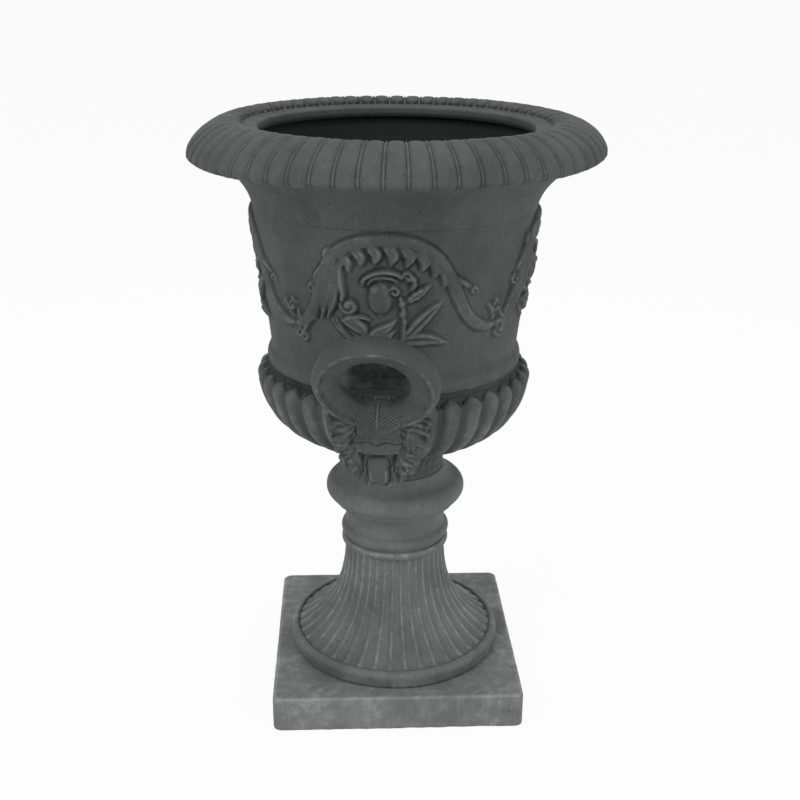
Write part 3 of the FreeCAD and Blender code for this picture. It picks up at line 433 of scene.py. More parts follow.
def bedding_mortar(finish):
    """Sanded mortar, squeezed between two castings: pale, dry and gritty."""
    material, tree, shader = new_material("bedding_mortar_sanded")
    place = node(tree, "ShaderNodeTexCoord").outputs["Object"]
    # grit of 1.5 mm
    grit = node(tree, "ShaderNodeTexNoise", {"Vector": place, "Scale": per_metre(1.5),
                                             "Detail": 3}).outputs["Fac"]
    shade = tuple(0.5 * c for c in finish.mortar) + (1,)
    tree.links.new(mixed(tree, ranged(tree, grit, 0.35, 0.65), shade,
                         tuple(finish.mortar) + (1,)), shader.inputs["Base Color"])
    shader.inputs["Roughness"].default_value = 0.95
    bump = node(tree, "ShaderNodeBump", {"Height": grit, "Strength": 0.7, "Distance": 0.6 * MM})
    tree.links.new(bump.outputs["Normal"], shader.inputs["Normal"])
    return material


def zinc_plate(finish):
    """Zinc-plated steel, dulled outdoors: a soft grey metal with spangled patches."""
    material, tree, shader = new_material("zinc_plated_steel_weathered")
    place = node(tree, "ShaderNodeTexCoord").outputs["Object"]
    # spangles of 3 mm
    spangle = node(tree, "ShaderNodeTexVoronoi", {"Vector": place,
                                                  "Scale": per_metre(3)}).outputs["Color"]
    level = node(tree, "ShaderNodeSeparateColor", {"Color": spangle}).outputs[0]
    tree.links.new(mixed(tree, ranged(tree, level, 0, 1, 0.0, 0.5), tuple(finish.zinc) + (1,),
                         tuple(0.55 * c for c in finish.zinc) + (1,)),
                   shader.inputs["Base Color"])
    tree.links.new(ranged(tree, level, 0, 1, 0.38, 0.6), shader.inputs["Roughness"])
    shader.inputs["Metallic"].default_value = 1.0
    scratch = node(tree, "ShaderNodeTexNoise", {"Vector": place, "Scale": per_metre(0.8),
                                                "Detail": 2}).outputs["Fac"]
    bump = node(tree, "ShaderNodeBump", {"Height": scratch, "Strength": 0.3,
                                         "Distance": 0.1 * MM})
    tree.links.new(bump.outputs["Normal"], shader.inputs["Normal"])
    return material


def finish_material(maker):
    """The material that a maker gives, made once and shared by all its pieces."""
    urn = bpy.context.scene.urn_finish
    if maker.__name__ not in MATERIALS:
        MATERIALS[maker.__name__] = maker(urn)
    return MATERIALS[maker.__name__]


MATERIALS = {}


# ---------------------------------------------------------------- bowl
# levels and radii of the castings, as in the frame, in millimetres
BOWL_BASE = 252.0
BOWL_FLOOR = 277.0
WALL_FOOT = (126.3, 391.0)
WALL_TOP = (141.5, 534.0)
ROD_HOLE = 6.5
DRAIN_CIRCLE = 28.0
DRAIN_RADIUS = 7.0


def lobe_share(angle, count):
    """How far each angle lies from the middle of its lobe: 0 on the crest, 1 in the groove."""
    turn = angle * count / (2 * math.pi)
    return np.abs(2 * (turn - np.floor(turn + 0.5)))


def rounded_lobe(share, width):
    """Height of a lobe with a round crest: the root of one less the square of its share of the
    half width, and nothing outside it."""
    ratio = share / np.maximum(width, 1e-6)
    return np.sqrt(np.clip(1 - ratio * ratio, 0, 1))


def end_rounding(along, first, last, reach_first, reach_last):
    """How wide a lobe is along its length, so that its ends are round in plan: the root of one
    less the square of how far a point lies into an end."""
    into = np.maximum((first + reach_first - along) / reach_first,
                      (along - last + reach_last) / reach_last)
    return np.sqrt(np.clip(1 - np.clip(into, 0, 1) ** 2, 0, 1))


def drain_dimple(points, depth):
    """How far a flat face drops inside three drain holes round the axis."""
    total = 0
    for k in range(3):
        angle = 2 * math.pi * k / 3
        away = np.hypot(points[..., 0] - DRAIN_CIRCLE * math.cos(angle),
                        points[..., 1] - DRAIN_CIRCLE * math.sin(angle))
        total = total + smooth_step(DRAIN_RADIUS + 0.5, DRAIN_RADIUS - 0.5, away)
    return depth * total


def gadroon_grid(sizes):
    """The bowl's lower half. The outside lies between two lines of (radius, level): the crest
    line and the groove line, which is the crest line drawn in square to itself. A round lobe
    blends from one to the other, with a thin raised fillet in each groove. The None given back
    last means that every row is shaded smooth."""
    count = sizes.gadroons
    depth = sizes.gadroon_depth / MM
    foot = np.concatenate([line((ROD_HOLE, BOWL_BASE), (50.6, BOWL_BASE), 4),
                           curve((50.6, BOWL_BASE), (51.2, BOWL_BASE), (51.4, 252.3),
                                 (51.4, 253), 2),
                           line((51.4, 253), (51.4, 257.4), 2),
                           line((51.4, 257.4), (50.8, 258), 1)])
    crest = np.concatenate([curve((50.8, 258), (54.8, 297.3), (130.1, 278.7), (141.6, 355), 72),
                            curve((141.6, 355), (142.3, 362), (138.2, 367.8), (128.6, 368.2),
                                  20)])
    top = np.concatenate([line((128.6, 368.2), (127.6, 368.8), 2),
                          line((127.6, 368.8), (127.6, 373), 3),
                          line((127.6, 373), (129.0, 373.6), 3),
                          arc((129.0, 373.6), (129.0, 386.4), 14, 12),
                          arc((129.0, 386.4), WALL_FOOT, -14, 7),
                          line(WALL_FOOT, (113.0, 391), 2)])
    inside = curve((113, 391), (113, 327), (75, 286.7), (46, BOWL_FLOOR), 16)
    floor = np.concatenate([line((46, BOWL_FLOOR), (37, BOWL_FLOOR), 3),
                            line((37, BOWL_FLOOR), (19, BOWL_FLOOR), 22),
                            line((19, BOWL_FLOOR), (ROD_HOLE, BOWL_FLOOR), 4),
                            line((ROD_HOLE, BOWL_FLOOR), (ROD_HOLE, BOWL_BASE), 2)])
    profile = np.concatenate([foot, crest, top, inside, floor])
    normals = line_normals(profile, closed=True)
    start, stop = len(foot), len(foot) + len(crest)
    along = arc_length(crest)
    radius = crest[:, 0]
    pitch = 2 * math.pi * radius / count
    drop = np.minimum(depth, 0.36 * pitch) * end_rounding(along, 0, along[-1], 30, 7)
    angle = np.linspace(0, 2 * math.pi, count * 14, endpoint=False)
    share = lobe_share(angle, count)[None, :]
    width = 0.87 * end_rounding(along, -1, along[-1] - 1, 4, 11)
    lobe = rounded_lobe(share, width[:, None])
    fillet_width = (np.clip(1.5 / (pitch / 2), 0.09, 0.2)
                    * smooth_step(along[-1] - 2, along[-1] - 9, along))[:, None]
    fillet = 0.5 * rounded_lobe(1 - share, fillet_width)
    height = np.maximum(lobe, fillet)
    radii = np.repeat(profile[:, :1], len(angle), 1)
    levels = np.repeat(profile[:, 1:], len(angle), 1)
    sunk = drop[:, None] * (1 - height)
    radii[start:stop] -= sunk * normals[start:stop, :1]
    levels[start:stop] -= sunk * normals[start:stop, 1:]
    wear_and_light = np.full(radii.shape, 0.5)
    # crests paler where rubbed; the grooves darker: wash and dirt in them, and painted shade
    wear_and_light[start:stop] = 0.25 + 0.6 * height - 0.25 * (drop[:, None] > 1) * (height < 0.15)
    bead = stop + 8
    wear_and_light[bead + 1:bead + 11] = 0.6
    # painted shade in the recess between the gadroons' tops and the bead
    wear_and_light[stop - 2:stop + 7] = 0.12
    # painted shade inside the bowl
    wear_and_light[stop + len(top):] = -0.1
    ring_shade_and_pits = behind_rings(angle[None, :], profile[:, 1:])
    # painted shadow of the ring handle on the bowl behind it
    wear_and_light = wear_and_light - 0.45 * ring_shade_and_pits
    radii = radii - ring_shade_and_pits * (profile[:, :1] > 124) * rough(radii, levels, angle)
    points, wear_and_light = finish_grid(radii, levels, angle, normals, wear_and_light, sizes, inner_floor=BOWL_FLOOR)
    return points, wear_and_light, None


def behind_rings(angle, level):
    """1 on the bowl behind the ring handles, where the mould was hard to fill and to clean and
    where the ring's painted shadow falls, and 0 away from there."""
    aside = np.abs(np.sin(angle))
    return smooth_step(0.27, 0.2, aside) * smooth_step(366, 376, level) * smooth_step(420, 406,
                                                                                       level)


def rough(radii, levels, angle):
    """How deep a poorly filled casting is pitted: pits of 7 mm, and finer ups and downs of
    3.4 mm all over."""
    points = turned_about_axis(radii, levels, angle[None, :])
    return 2.4 * np.clip(lattice_noise(points, 7, 11), 0, 1) + 1.3 * lattice_noise(points, 3.4, 12)


def finish_grid(radii, levels, angle, normals, wear_and_light, sizes, inner_floor=None):
    """A turned grid with its casting's unevenness, pushed along the line's normals, and with
    drain holes in its floor."""
    points = turned_about_axis(radii, levels, angle[None, :])
    off = uneven(points, sizes.surface / MM)
    outward = turned_about_axis(normals[:, :1], normals[:, 1:], angle[None, :])
    points = points + outward * off[..., None]
    if inner_floor is not None:
        floor = (np.abs(levels - inner_floor) < 0.6) & (radii < 45)
        dimple = drain_dimple(points, 22.0)
        points[..., 2] -= np.where(floor, dimple, 0)
        wear_and_light = np.where(floor & (dimple > 1), 0, wear_and_light)
    return points, np.clip(wear_and_light + 0.15 * off / max(sizes.surface / MM, 1e-6), 0, 1)


def wall_grid(sizes, low, high, field):
    """A band of the bowl's wall between two levels: a ring whose outside is a straight slope
    with the frieze raised on it. Below the frieze its rows are wider apart. The lowest band
    starts inside the casting below, and the highest ends where the rim begins."""
    levels = np.concatenate([np.arange(low, min(FRIEZE_LEVELS[0], high), 2.4),
                             np.arange(max(low, FRIEZE_LEVELS[0]), high, 0.84), [high]])
    outer = np.stack([wall_radius(levels), levels], -1)
    inner = np.array([(wall_radius(high) - 11.5, high), (wall_radius(low) - 11.5, low)])
    profile = np.concatenate([outer, inner])
    normals = line_normals(profile, closed=True)
    normals[:len(levels)] = normals[1]
    normals[len(levels):] = 0
    angle = np.linspace(0, 2 * math.pi, 1040, endpoint=False)
    shown = field_at(field, angle, levels)
    proud = shown - 0.25 * sum(field_at(field, angle + turned, levels + raised)
                               for turned, raised in ((0.024, 0), (-0.024, 0), (0, 3.2),
                                                      (0, -3.2)))
    radii = np.repeat(profile[:, :1], len(angle), 1)
    radii[:len(levels)] += shown
    level_grid = np.repeat(profile[:, 1:], len(angle), 1)
    ring_shade_and_pits = behind_rings(angle[None, :], profile[:, 1:])
    radii = radii - ring_shade_and_pits * rough(radii, level_grid, angle)
    # inside the wall, painted shade; on the frieze the raised edges are paler where rubbed and the
    # ground beside them darker, wash and dirt with painted shade
    wear_and_light = np.full(radii.shape, 0.1)
    wear_and_light[:len(levels)] = 0.41 + 0.42 * np.clip(proud, -0.9, 1.4) + 0.012 * shown
    # lowered behind the ring handle as its painted shadow
    points, wear_and_light = finish_grid(radii, level_grid, angle, normals, wear_and_light - 0.4 * ring_shade_and_pits, sizes)
    return points, wear_and_light, len(levels) - 1


def rim_grid(sizes):
    """The bowl's rim: a hollow moulding, a rolled edge and a crown of tongues, which lie between
    a crest line and a groove line as the gadroons do, then the lip and the undercut behind it."""
    count = sizes.tongues
    depth = sizes.tongue_depth / MM
    edge = sizes.rim_radius / MM
    mouth = sizes.mouth_radius / MM
    under = np.concatenate([arc(WALL_TOP, (183.5, 579), -62, 22),
                            line((183.5, 579), (185.4, 579.6), 2)])
    crest = np.concatenate([curve((185.4, 579.6), (193, 580), (edge - 4.5, 579.6),
                                  (edge - 0.6, 585), 10),
                            curve((edge - 0.6, 585), (edge + 1.2, 595), (190, 613.5),
                                  (166, 617.2), 34),
                            curve((166, 617.2), (158, 617.2), (151.5, 615.4), (149, 610.2),
                                  13)])
    top = np.concatenate([line((149, 610.2), (148, 609.6), 1),
                          curve((148, 609.6), (147, 610.8), (144.5, 610.6), (143.5, 609.2), 4),
                          line((143.5, 609.2), (mouth + 2.5, 608.6), 2),
                          curve((mouth + 2.5, 608.6), (mouth + 0.8, 608.4), (mouth, 607.6),
                                (mouth, 605.8), 3),
                          line((mouth, 605.8), (mouth, 599.5), 3),
                          curve((mouth, 599.5), (mouth, 597.8), (mouth + 2, 597.4),
                                (mouth + 8, 597.4), 3),
                          line((mouth + 8, 597.4), (mouth + 8, 570), 3),
                          line((mouth + 8, 570), (129.0, 534), 4),
                          line((129.0, 534), WALL_TOP, 2)])
    profile = np.concatenate([under, crest, top])
    normals = line_normals(profile, closed=True)
    normals[0] = normals[1]
    start, stop = len(under), len(under) + len(crest)
    along = arc_length(crest)
    drop = depth * end_rounding(along, 0, along[-1] + 4, 12, 4)
    angle = np.linspace(0, 2 * math.pi, count * 14, endpoint=False)
    share = lobe_share(angle, count)[None, :]
    width = 0.86 * end_rounding(along, -6, along[-1] - 1.0, 6, 8.5)
    lobe = rounded_lobe(share, width[:, None]) ** 0.55
    fillet_width = (0.14 * smooth_step(along[-1] - 5, along[-1] - 10, along))[:, None]
    fillet = 0.95 * rounded_lobe(1 - share, fillet_width)
    height = np.maximum(lobe, fillet)
    radii = np.repeat(profile[:, :1], len(angle), 1)
    levels = np.repeat(profile[:, 1:], len(angle), 1)
    sunk = drop[:, None] * (1 - height)
    radii[start:stop] -= sunk * normals[start:stop, :1]
    levels[start:stop] -= sunk * normals[start:stop, 1:]
    # the mould wasn't quite true: the rim sags to the left and spreads a little in long waves
    lift = 2.4 * np.sin(angle) + 0.5 * np.sin(3 * angle + 2.1) - 0.4
    levels += lift[None, :] * smooth_step(158, 204, profile[:, :1])
    wear_and_light = np.full(radii.shape, 0.42)
    # fillets paler where rubbed; painted shadow in the grooves beside them
    wear_and_light[start:stop] = 0.4 + 0.1 * lobe + 0.62 * fillet ** 2 - 0.42 * (height < 0.45)
    wear_and_light[start + 6:start + 18] += 0.12
    wear_and_light[stop:stop + 12] = 0.34
    # painted shade inside the bowl
    wear_and_light[stop + 12:] = -0.1
    points, wear_and_light = finish_grid(radii, levels, angle, normals, wear_and_light, sizes)
    return points, wear_and_light, len(profile) - 3


# ---------------------------------------------------------------- frieze
FRIEZE_RADIUS = 134.0       # where millimetres round the wall are measured
FRIEZE_REPEATS = 4
FRIEZE_START = -38.0        # the trough of the stem where a repeat starts, in degrees
FRIEZE_LEVELS = (414.0, 534.0)
FRIEZE_CELL = 0.7           # spacing of the grid that the relief is worked out on


def wall_radius(level):
    """Outside of the bowl's wall at a level."""
    share = (level - WALL_FOOT[1]) / (WALL_TOP[1] - WALL_FOOT[1])
    return WALL_FOOT[0] + (WALL_TOP[0] - WALL_FOOT[0]) * share


def wall_path(points):
    """Angle in degrees and level in millimetres as millimetres round the wall and level."""
    points = np.array(points, float)
    return np.stack([np.radians(points[:, 0]) * FRIEZE_RADIUS, points[:, 1]], -1)


def raise_strip(field, round_wall, levels, strip):
    """Raises one strip on a field of heights. At each point the nearest point of the strip's
    path gives its half width and height there. Across the strip the height is the root of one
    less a power of the way out, less a groove along the middle, and combed by fine strands. The
    field keeps the higher of what it had and the strip."""
    path, half_width, height, midrib, strands = strip
    along = np.gradient(path, axis=0)
    along /= np.maximum(np.hypot(along[:, :1], along[:, 1:]), 1e-9)
    step = np.median(np.hypot(*np.diff(path, axis=0).T))
    low, high = path.min(0) - half_width.max() - 1, path.max(0) + half_width.max() + 1
    columns = np.flatnonzero((round_wall > low[0]) & (round_wall < high[0]))
    rows = np.flatnonzero((levels > low[1]) & (levels < high[1]))
    if not len(columns) or not len(rows):
        return
    across = round_wall[columns][None, :, None] - path[:, 0]
    upward = levels[rows][:, None, None] - path[:, 1]
    nearest = (across ** 2 + upward ** 2).argmin(-1)[..., None]
    across = np.take_along_axis(across, nearest, -1)[..., 0]
    upward = np.take_along_axis(upward, nearest, -1)[..., 0]
    nearest = nearest[..., 0]
    way = along[nearest]
    aside = upward * way[..., 0] - across * way[..., 1]
    beyond = np.clip(np.abs(across * way[..., 0] + upward * way[..., 1]) - step, 0, None)
    out = np.copysign(np.hypot(aside, beyond), aside) / half_width[nearest]
    crown = np.clip(1 - np.abs(out) ** 2.4, 0, 1) ** 0.5
    groove = midrib * np.exp(-(out / 0.2) ** 2)
    combed = 0.11 * np.cos(out * math.pi * strands) if strands else 0
    block = np.ix_(rows, columns)
    field[block] = np.maximum(field[block], height[nearest] * crown * (1 - groove + combed))


def stalk(points, width, height, taper=0.35, midrib=0.0, strands=0, count=48):
    """A stalk of even width along a smooth line, thinner towards its tip."""
    share = np.linspace(0, 1, count)
    ends = np.sqrt(np.clip(1 - np.abs(2 * share - 1) ** 10, 0, 1))
    size = (1 - taper * share) * ends
    return (through(wall_path(points), count), width / 2 * size + 0.05,
            height * (0.4 + 0.6 * size), midrib, strands)


def leaf(points, width, height, lobes=0, midrib=0.35, strands=0, count=44):
    """A leaf along a smooth line: its half width is a sine that leans to the base, notched by
    its lobes, and its middle stands highest."""
    share = np.linspace(0, 1, count)
    body = np.sin(math.pi * np.clip(share, 0.02, 0.98) ** 0.8) ** 0.7
    notch = 1 - 0.3 * np.abs(np.cos(math.pi * lobes * share)) ** 3 if lobes else 1
    return (through(wall_path(points), count), width / 2 * body * notch + 0.05,
            height * (0.3 + 0.7 * body), midrib, strands)


def volute(centre, size, start, turns, width, height, hand=1, count=90):
    """A spiral curl that winds in to a knob: its radius falls to a seventh of its size."""
    share = np.linspace(0, 1, count)
    radius = size * (1 - 0.86 * share ** 0.85)
    angle = math.radians(start) + hand * 2 * math.pi * turns * share
    path = wall_path([centre])[0] + radius[:, None] * np.stack([np.cos(angle), np.sin(angle)], -1)
    ends = np.sqrt(np.clip(1 - np.abs(2 * share - 1) ** 12, 0, 1))
    return (path, width / 2 * (1 - 0.4 * share) * ends + 0.05,
            height * (0.6 + 0.55 * share) * (0.3 + 0.7 * ends), 0.0, 0)


def boss(centre, size, height, stretch=1.0, tilt=0.0):
    """A round or oval knob: a short strip whose half width is a half circle."""
    share = np.linspace(0.01, 0.99, 24)
    way = np.array([math.cos(math.radians(tilt)), math.sin(math.radians(tilt))])
    path = wall_path([centre])[0] + ((2 * share - 1) * size * stretch)[:, None] * way
    ball = np.sqrt(np.clip(1 - (2 * share - 1) ** 2, 0, 1))
    return path, size * ball + 0.05, height * ball, 0.0, 0


def frieze_stems():
    """The stem that waves round the bowl, faintly grooved, and its side shoots."""
    wave = [(-38, 436), (-33.5, 439), (-30, 447), (-27, 458), (-24.5, 471), (-22.5, 485),
            (-20, 500), (-16, 512), (-10, 521), (-3, 525.5), (4, 526.5), (11, 524.5),
            (17.5, 517.5), (22.5, 507.5), (26.5, 494), (30, 479), (33, 464), (36.5, 451),
            (41, 441.5), (46, 436.5), (52, 436)]
    return [
        stalk(wave, 12.5, 5.2, taper=0.0, midrib=0.16, strands=2, count=230),
        stalk([(-29, 449), (-31, 440), (-33, 432), (-34.5, 426)], 6, 4.6, strands=2),
        stalk([(-34, 441), (-35.5, 447), (-36, 453)], 4.5, 4.4),
        stalk([(-19.5, 449), (-17.5, 441), (-14.5, 434), (-11.5, 427)], 2.4, 3.2, taper=0),
        stalk([(-17.8, 449), (-15.8, 441), (-13, 434), (-10, 427)], 2.4, 3.2, taper=0),
        stalk([(9.4, 430), (10, 442), (9.8, 455), (9.2, 466), (8, 474)], 4.0, 4.6, taper=0.2),
        stalk([(46.5, 459), (49, 451), (50.5, 441)], 5, 4.4),
        stalk([(-14.6, 498), (-14.2, 486), (-13.8, 474), (-14.4, 466)], 5.5, 6.4, taper=0.1),
        stalk([(-13.5, 450), (-10, 452.5), (-6, 452), (-3.2, 449.5)], 4, 5.8),
    ]


def frieze_volutes():
    """The curls at the ends of the shoots."""
    return [
        volute((-11.6, 463), 8.6, 160, 1.35, 5.6, 6.4, hand=1), boss((-11.6, 463), 3.6, 7.6),
        volute((-27.2, 475), 5.6, 60, 1.2, 4.4, 4.6, hand=1),
        volute((-38.6, 453), 6.2, 20, 1.3, 3.8, 4.6, hand=1), boss((-38.6, 453), 2.2, 5),
        volute((-33.4, 425.5), 5.4, 160, 1.2, 4.2, 4.8, hand=1),
        volute((53.4, 427.5), 5.6, 120, 1.25, 4.0, 4.6, hand=-1),
        volute((6.2, 478), 5.2, 180, 1.2, 3.4, 7.6, hand=-1),
        volute((11, 492.5), 5.0, 200, 1.2, 3.8, 6.4, hand=-1),
        volute((38.6, 474), 5.0, -60, 1.1, 3.6, 4.2),
    ]


def frieze_leaves():
    """The sheath of the stem, the lobes that hang along the inside of the arch, the leaves on
    its outside, and the leaves above the ring handle."""
    sheath = [leaf([(-27, 446), (-24.6, 466), (-22, 486), (-19.4, 505), (-15, 518)], 9, 5.8,
                   strands=3),
              leaf([(-24, 448), (-21, 468), (-19, 488), (-16.6, 507), (-11, 520)], 10, 6.2,
                   strands=3),
              leaf([(-21, 450), (-17.6, 468), (-16, 487), (-14, 503), (-9, 515)], 9, 6.2,
                   strands=3)]
    lobes = [leaf(points, width, height, strands=2) for points, width, height in (
        ([(-15, 513), (-11.5, 505), (-11.5, 494)], 9, 5.8),
        ([(-10, 519), (-6.5, 511), (-6.5, 501)], 10, 6.4),
        ([(-4, 522), (-0.6, 514), (-1.4, 503.5)], 10.5, 6.6),
        ([(2, 523), (5.6, 514), (4.6, 503)], 11, 6.8),
        ([(8, 522), (11.8, 512.5), (10.6, 501.5)], 11, 6.8),
        ([(13.5, 519), (17.2, 508), (16.4, 497)], 11, 6.6),
        ([(18.5, 513), (21.8, 501), (21, 490)], 10, 6.4),
        ([(22.5, 504), (25.6, 491), (25.2, 480)], 9, 6.0))]
    outer = [leaf([(-20, 500), (-24, 492), (-27, 481)], 8, 4.8, lobes=2),
             leaf([(-19, 505), (-20.5, 511), (-18, 518)], 6.5, 4.2, lobes=2),
             leaf([(29, 489), (33, 484), (38, 477)], 7, 4.0, lobes=2)]
    return sheath + lobes + outer + [
        leaf([(10, 487), (13, 491), (13.6, 484), (12, 478)], 6, 6.0, lobes=2),
        leaf([(11, 468), (14, 473.5), (17, 478.5), (20.5, 484.5)], 10, 5.6, lobes=4),
        leaf([(-3.8, 435.5), (0, 439), (3.6, 443.5), (7, 450.5)], 10, 6.0, strands=3),
        leaf([(-2, 429), (2.5, 433), (6.5, 440.5)], 9, 5.6, strands=3),
        leaf([(-14.5, 447.5), (-10, 446), (-6.6, 440.5), (-5.4, 432.5)], 14, 6.2, strands=3),
        leaf([(9.2, 430), (13.2, 440), (17.6, 451.5), (21.6, 460.5), (25, 467)], 12, 6.4,
             midrib=0.5),
        leaf([(8.4, 428.5), (14, 431.5), (20, 431), (28, 426)], 14.5, 6.4, midrib=0.55),
    ]


def frieze_flower():
    """The half-open flower in the middle of the arch, under its hood, and the small knobs."""
    hood = [stalk([(-6, 483), (-5, 490), (-1.5, 495), (3, 497), (7, 495), (9.4, 490.5)], 4.4, 6.4,
                  taper=0),
            stalk([(-4.2, 484), (-2.2, 489.8), (1.8, 491.8), (5.6, 490.4), (7.4, 487)], 3.0, 5.4,
                  taper=0)]
    return hood + [boss((0.8, 471.5), 10.8, 7.4, 1.45, 90), boss((-0.8, 480), 5.6, 8.2),
                   boss((9.2, 467), 3.0, 6.0, 1.2, 60), boss((9.5, 456.5), 3.0, 5.8, 1.2, 60),
                   boss((10.2, 448.5), 2.6, 5.4), boss((-38.6, 461), 2.6, 4.0)]


def frieze_field():
    """Heights of the relief over one repeat of the wall, worked out on a fine grid of
    millimetres round the wall and levels, then softened as a worn mould softens it: each point
    is averaged with those within about 1 mm."""
    first = math.radians(FRIEZE_START) * FRIEZE_RADIUS
    pitch = 2 * math.pi / FRIEZE_REPEATS * FRIEZE_RADIUS
    round_wall = first + np.arange(0, pitch, pitch / round(pitch / FRIEZE_CELL))
    levels = np.arange(FRIEZE_LEVELS[0], FRIEZE_LEVELS[1], FRIEZE_CELL)
    field = np.zeros((len(levels), len(round_wall)))
    for strip in frieze_stems() + frieze_volutes() + frieze_leaves() + frieze_flower():
        for carried in (-pitch, 0, pitch):
            moved = (strip[0] + np.array([carried, 0]),) + strip[1:]
            raise_strip(field, round_wall, levels, moved)
    for _ in range(2):
        field = (2 * field + np.roll(field, 1, 1) + np.roll(field, -1, 1)) / 4
        field = (2 * field + np.roll(field, 1, 0) + np.roll(field, -1, 0)) / 4
    return round_wall, levels, field


def field_at(relief, angle, levels):
    """The relief's height at each angle and level, read between the points of its grid. It
    repeats round the bowl and is 0 above and below the frieze."""
    round_wall, rows, field = relief
    pitch = 2 * math.pi / FRIEZE_REPEATS * FRIEZE_RADIUS
    column = ((angle * FRIEZE_RADIUS - round_wall[0]) % pitch) / pitch * len(round_wall)
    left = column.astype(int) % len(round_wall)
    part = column - np.floor(column)
    columns = field[:, left] * (1 - part) + field[:, (left + 1) % len(round_wall)] * part
    row = np.clip((levels - rows[0]) / (rows[1] - rows[0]), 0, len(rows) - 1.001)
    below = row.astype(int)
    part = (row - below)[:, None]
    height = columns[below] * (1 - part) + columns[below + 1] * part
    inside = (levels > rows[1]) & (levels < rows[-2])
    return height * inside[:, None]


# ---------------------------------------------------------------- pedestal and plinth
PEDESTAL_BASE = 39.5
PLINTH_TOP = 38.0
PLINTH_ROOF = 24.0          # ceiling of the hollow under the plinth


def pedestal_grid(sizes):
    """The pedestal: a disc, a flare whose hollow flutes lie between a line of sharp edges and a
    line of flute bottoms, a stem with a ring, and a knop; hollow inside."""
    base = PEDESTAL_BASE
    count = sizes.flutes
    depth = sizes.flute_depth / MM
    disc = np.concatenate([line((92, base), (113.5, base), 3),
                           curve((113.5, base), (115.2, base), (116, base + 0.8),
                                 (116, base + 2.5), 4),
                           line((116, base + 2.5), (116, base + 9.5), 6),
                           curve((116, base + 9.5), (116, base + 14.2), (113, base + 17),
                                 (110.4, base + 17.4), 8),
                           curve((110.4, base + 17.4), (108.7, base + 17.6),
                                 (108.3, base + 16.5), (108, base + 15.2), 4)])
    flare = curve((108, base + 15.2), (80.5, base + 33), (54.2, base + 56), (54.2, base + 119),
                  76)
    stem = np.concatenate([line((54.2, base + 119), (56.6, base + 119.2), 2),
                           arc((56.6, base + 119.2), (56.2, base + 127.4), 5.6, 6),
                           line((56.2, base + 127.4), (54.4, base + 128.2), 2),
                           line((54.4, base + 128.2), (54.6, base + 130.0), 2),
                           arc((54.6, base + 130.0), (55.6, base + 142.4), 7.4, 12),
                           line((55.6, base + 142.4), (54.2, base + 143.4), 2),
                           arc((54.2, base + 143.4), (65.4, base + 170.6), -26, 12),
                           line((65.4, base + 170.6), (65.0, base + 172.2), 2),
                           line((65.0, base + 172.2), (66.4, base + 174.4), 2),
                           arc((66.4, base + 174.4), (66.5, base + 197.3), 12.2, 18),
                           arc((66.5, base + 197.3), (51.5, base + 211), -26, 8)])
    hollow = np.concatenate([line((51.5, base + 211), (ROD_HOLE, base + 211), 3),
                             line((ROD_HOLE, base + 211), (ROD_HOLE, base + 193), 2),
                             line((ROD_HOLE, base + 193), (39.2, base + 193), 2),
                             line((39.2, base + 193), (39.2, base + 91), 3),
                             arc((39.2, base + 91), (92, base + 15.5), 120, 6),
                             line((92, base + 15.5), (92, base), 2)])
    profile = np.concatenate([disc, flare, stem, hollow])
    normals = line_normals(profile, closed=True)
    start, stop = len(disc), len(disc) + len(flare)
    along = arc_length(flare)
    deep = 0.9 * depth * (0.55 + 0.45 * smooth_step(along[-1], 25, along))
    angle = np.linspace(0, 2 * math.pi, count * 12, endpoint=False)
    share = 1 - lobe_share(angle, count)[None, :]
    width = 0.8 * end_rounding(along, 0.5, along[-1] + 1, 9, 5)
    hollowed = rounded_lobe(1 - share, width[:, None]) ** 0.85
    radii = np.repeat(profile[:, :1], len(angle), 1)
    levels = np.repeat(profile[:, 1:], len(angle), 1)
    radii[start:stop] -= deep[:, None] * hollowed * normals[start:stop, :1]
    levels[start:stop] -= deep[:, None] * hollowed * normals[start:stop, 1:]
    wear_and_light = np.full(radii.shape, 0.5)
    # flute edges paler where rubbed, and the hollows darker: wash in them, and painted shade
    wear_and_light[start:stop] = 0.86 - 0.34 * hollowed ** 0.5
    # painted shade in the valley between the disc and the flare
    wear_and_light[start - 1:start + 2] = 0.22
    wear_and_light[start - 9:start - 3] = 0.66
    wear_and_light[:start - 10] = 0.3
    wear_and_light[stop:stop + 8] = 0.6
    wear_and_light[stop + 6:stop + 9] = 0.85
    # painted shade in the groove under the stem's ring
    wear_and_light[stop + 9:stop + 12] = 0.12
    wear_and_light[stop + 11:stop + 21] = 0.62
    wear_and_light[stop + 38:stop + 56] = 0.42
    wear_and_light[stop + len(stem):] = 0.1
    return finish_grid(radii, levels, angle, normals, wear_and_light, sizes)


def rounded_square(half, corner, angle):
    """How far the side of a square with rounded corners lies from its middle at each angle:
    the lesser of the reach of its straight side and that of its corner's arc."""
    folded = np.abs((angle + math.pi / 4) % (math.pi / 2) - math.pi / 4)
    side = half / np.cos(folded)
    inner = half - corner
    c, s = np.cos(folded), np.sin(folded)
    dot = inner * (c + s)
    arc_reach = dot + np.sqrt(np.clip(dot * dot - 2 * inner * inner + corner * corner, 0, None))
    return np.where(half * np.tan(folded) > inner, arc_reach, side)


